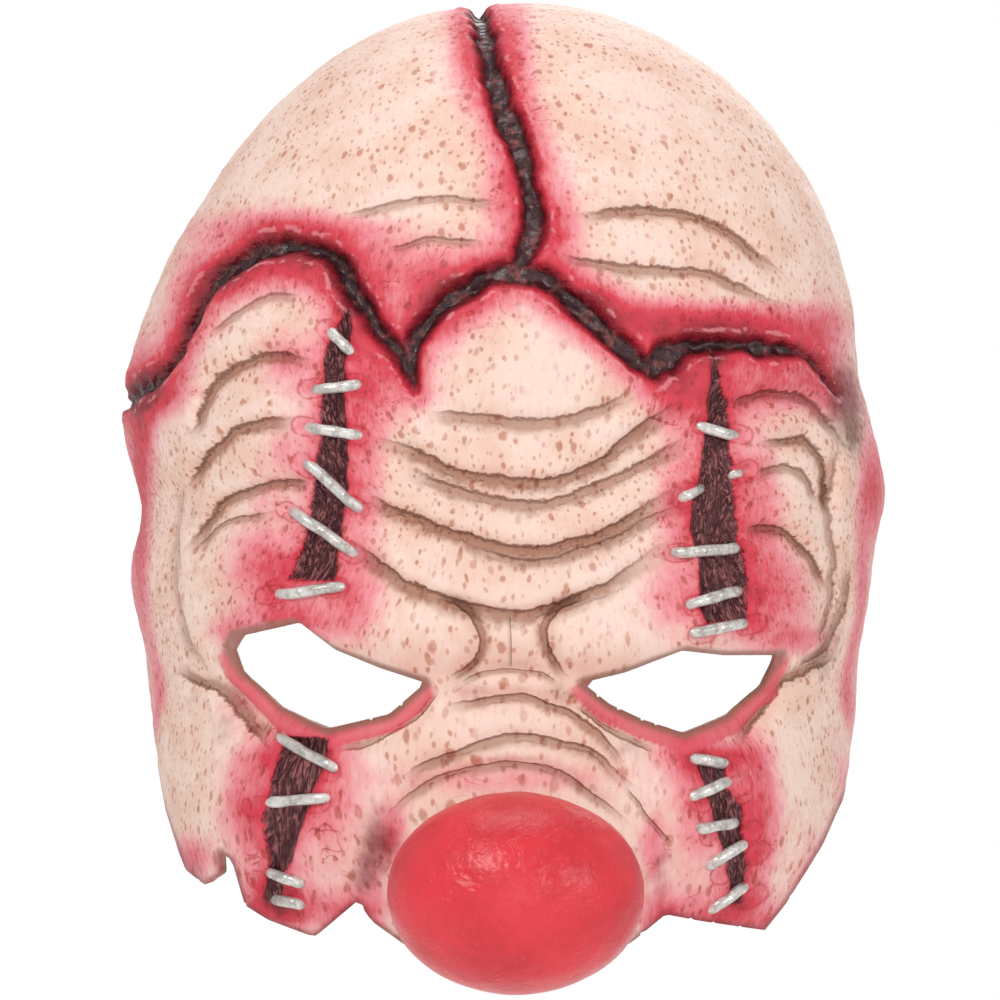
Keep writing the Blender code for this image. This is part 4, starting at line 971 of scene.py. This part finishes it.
def strapLine():  # the middle line of the frame's strap: each corner pairs with the one across its thickness
    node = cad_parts["elastic_strap"]
    places = np.array([node.matrix_world @ vertex.co for vertex in node.data.vertices])
    flat = np.unique(np.round(places[:, :2], 5), axis=0)
    apart = np.linalg.norm(flat[:, None] - flat[None, :], axis=-1) + np.eye(len(flat))
    middle = np.unique(np.round(0.5 * (flat + flat[apart.argmin(axis=1)]), 5), axis=0)
    order = np.argsort(np.arctan2(middle[:, 1] - strap["loopY"], middle[:, 0]))
    return through(middle[order], strap["steps"]), 0.5 * (places[:, 2].min() + places[:, 2].max())


def makeStrap(material):
    # A flat ribbed band carried along its line: the ribs are a row of bells over both faces
    line, z0 = strapLine()
    along = np.gradient(line, axis=0)
    along /= np.linalg.norm(along, axis=1, keepdims=True)
    outward = np.stack([along[:, 1], -along[:, 0]], axis=1)
    count = strap["ribs"] * 4 + 1
    height = np.linspace(-0.5, 0.5, count) * (strap["width"] - strap["thickness"] * 0.5)
    rib = strap["ribDepth"] * np.cos(np.linspace(0.0, 2.0 * math.pi * strap["ribs"], count))
    edge = np.sqrt(np.clip(1.0 - (2.0 * np.abs(height) / strap["width"]) ** 16, 0.0, 1.0))
    half = (0.5 * strap["thickness"] - strap["ribDepth"]) * edge + rib * edge
    across = np.concatenate([half, -half[::-1]])
    up = np.concatenate([height, height[::-1]])
    base = line[:, None, :] + outward[:, None, :] * across[None, :, None]
    places = np.concatenate([base, np.broadcast_to(z0 + up[None, :, None], (*base.shape[:2], 1))], axis=-1)
    tips = np.stack([places[0].mean(axis=0), places[-1].mean(axis=0)])
    corners, sizes = ringFaces(len(line), len(up))
    mesh, used = meshFrom("elasticBand", np.concatenate([places.reshape(-1, 3), tips]), corners, sizes)
    run = np.concatenate([[0.0], np.cumsum(np.linalg.norm(np.diff(line, axis=0), axis=1))])
    alongStrap = np.concatenate([np.repeat(run, len(up)), [0.0, run[-1]]])
    upStrap = np.concatenate([np.tile(up, len(line)), [0.0, 0.0]])
    for name, values in (("alongStrap", alongStrap), ("upStrap", upStrap)):
        mesh.attributes.new(name, "FLOAT", "POINT").data.foreach_set("value", values[used].astype(np.float32))
    piece = madePiece("elasticBand", mesh, material, "elastic_weave", "elastic_strap")
    print("strap length:", round(float(run[-1]), 4))


def paintStrap():  # black woven elastic: warp ribs crossed by fine weft, greyed where it has rubbed
    p = Recipe("blackElastic", Specular_IOR_Level=0.3, Sheen_Weight=0.3, Sheen_Roughness=0.4)
    along, up = p.value("alongStrap"), p.value("upStrap")
    weft = p.add("ShaderNodeMath", {"operation": "SINE"}, {0: along * (2.0 * math.pi / 0.0009)})
    warpPitch = strap["width"] / strap["ribs"]
    warp = p.add("ShaderNodeMath", {"operation": "COSINE"}, {0: up * (2.0 * math.pi / warpPitch)})
    worn = p.noise(p.vector(along, up), 0.006, 3.0)
    threads = weft * 0.5 + 0.5
    colour = p.mix(threads * 0.6 + worn * 0.5, tint(14, 14, 15), tint(58, 57, 58))
    relief = threads * 0.12 + warp * 0.08
    p.plug(p.shader, {"Base Color": colour, "Roughness": 0.82 - threads * 0.12, "Normal": p.bump(relief)})
    return p.material


makeStrap(paintStrap())

studio = {
    "floorZ": -0.30, "floorRadius": 3.0, "aim": (0.0, 0.02, 0.04), "ambient": 0.60,
    "lamps": {  # place, size across and power in watts
        "keyLamp": ((-0.9, -1.7, 1.3), 0.6, 14.0), "fillLamp": ((1.5, -1.5, 0.5), 0.7, 7.0),
        "frontLamp": ((0.1, -2.4, 0.0), 0.6, 3.0), "topLamp": ((0.0, 0.3, 1.8), 1.0, 7.0),
        "backLamp": ((0.3, 1.9, 0.8), 1.2, 9.0),
    },
}


def makeStudio():
    radius = studio["floorRadius"]
    signs = ((-1.0, -1.0), (1.0, -1.0), (1.0, 1.0), (-1.0, 1.0))
    corners = [(radius * x, radius * y, studio["floorZ"]) for x, y in signs]
    mesh = bpy.data.meshes.new("paleFloor")
    mesh.from_pydata(corners, [], [(0, 1, 2, 3)])
    floor = bpy.data.objects.new("paleFloor", mesh)
    floorPaint = Recipe("palePaper", Roughness=0.8)
    cloud = floorPaint.noise(floorPaint.add("ShaderNodeTexCoord", {}, {}, 3), 0.4, 2.0)
    paper = floorPaint.mix(cloud + 0.5, tint(238, 238, 238), tint(244, 244, 243))
    floorPaint.plug(floorPaint.shader, {"Base Color": paper})
    mesh.materials.append(floorPaint.material)
    bpy.context.scene.collection.objects.link(floor)
    for name, (place, size, power) in studio["lamps"].items():
        data = bpy.data.lights.new(name, "AREA")
        data.size = size
        data.energy = power
        lamp = bpy.data.objects.new(name, data)
        lamp.location = place
        lamp.rotation_euler = (Vector(studio["aim"]) - Vector(place)).to_track_quat("-Z", "Y").to_euler()
        lamp.visible_camera = False
        bpy.context.scene.collection.objects.link(lamp)
    world = bpy.data.worlds.new("whiteRoom")
    world.use_nodes = True
    nodes, links = world.node_tree.nodes, world.node_tree.links
    seen = nodes.new("ShaderNodeLightPath")
    level = nodes.new("ShaderNodeMapRange")
    level.inputs["To Min"].default_value = studio["ambient"]
    level.inputs["To Max"].default_value = 1.0
    links.new(seen.outputs["Is Camera Ray"], level.inputs["Value"])
    nodes["Background"].inputs["Color"].default_value = (1.0, 1.0, 1.0, 1.0)
    links.new(level.outputs["Result"], nodes["Background"].inputs["Strength"])
    bpy.context.scene.world = world
    bpy.context.scene.view_settings.view_transform = "Standard"


makeStudio()
print("studio lit")
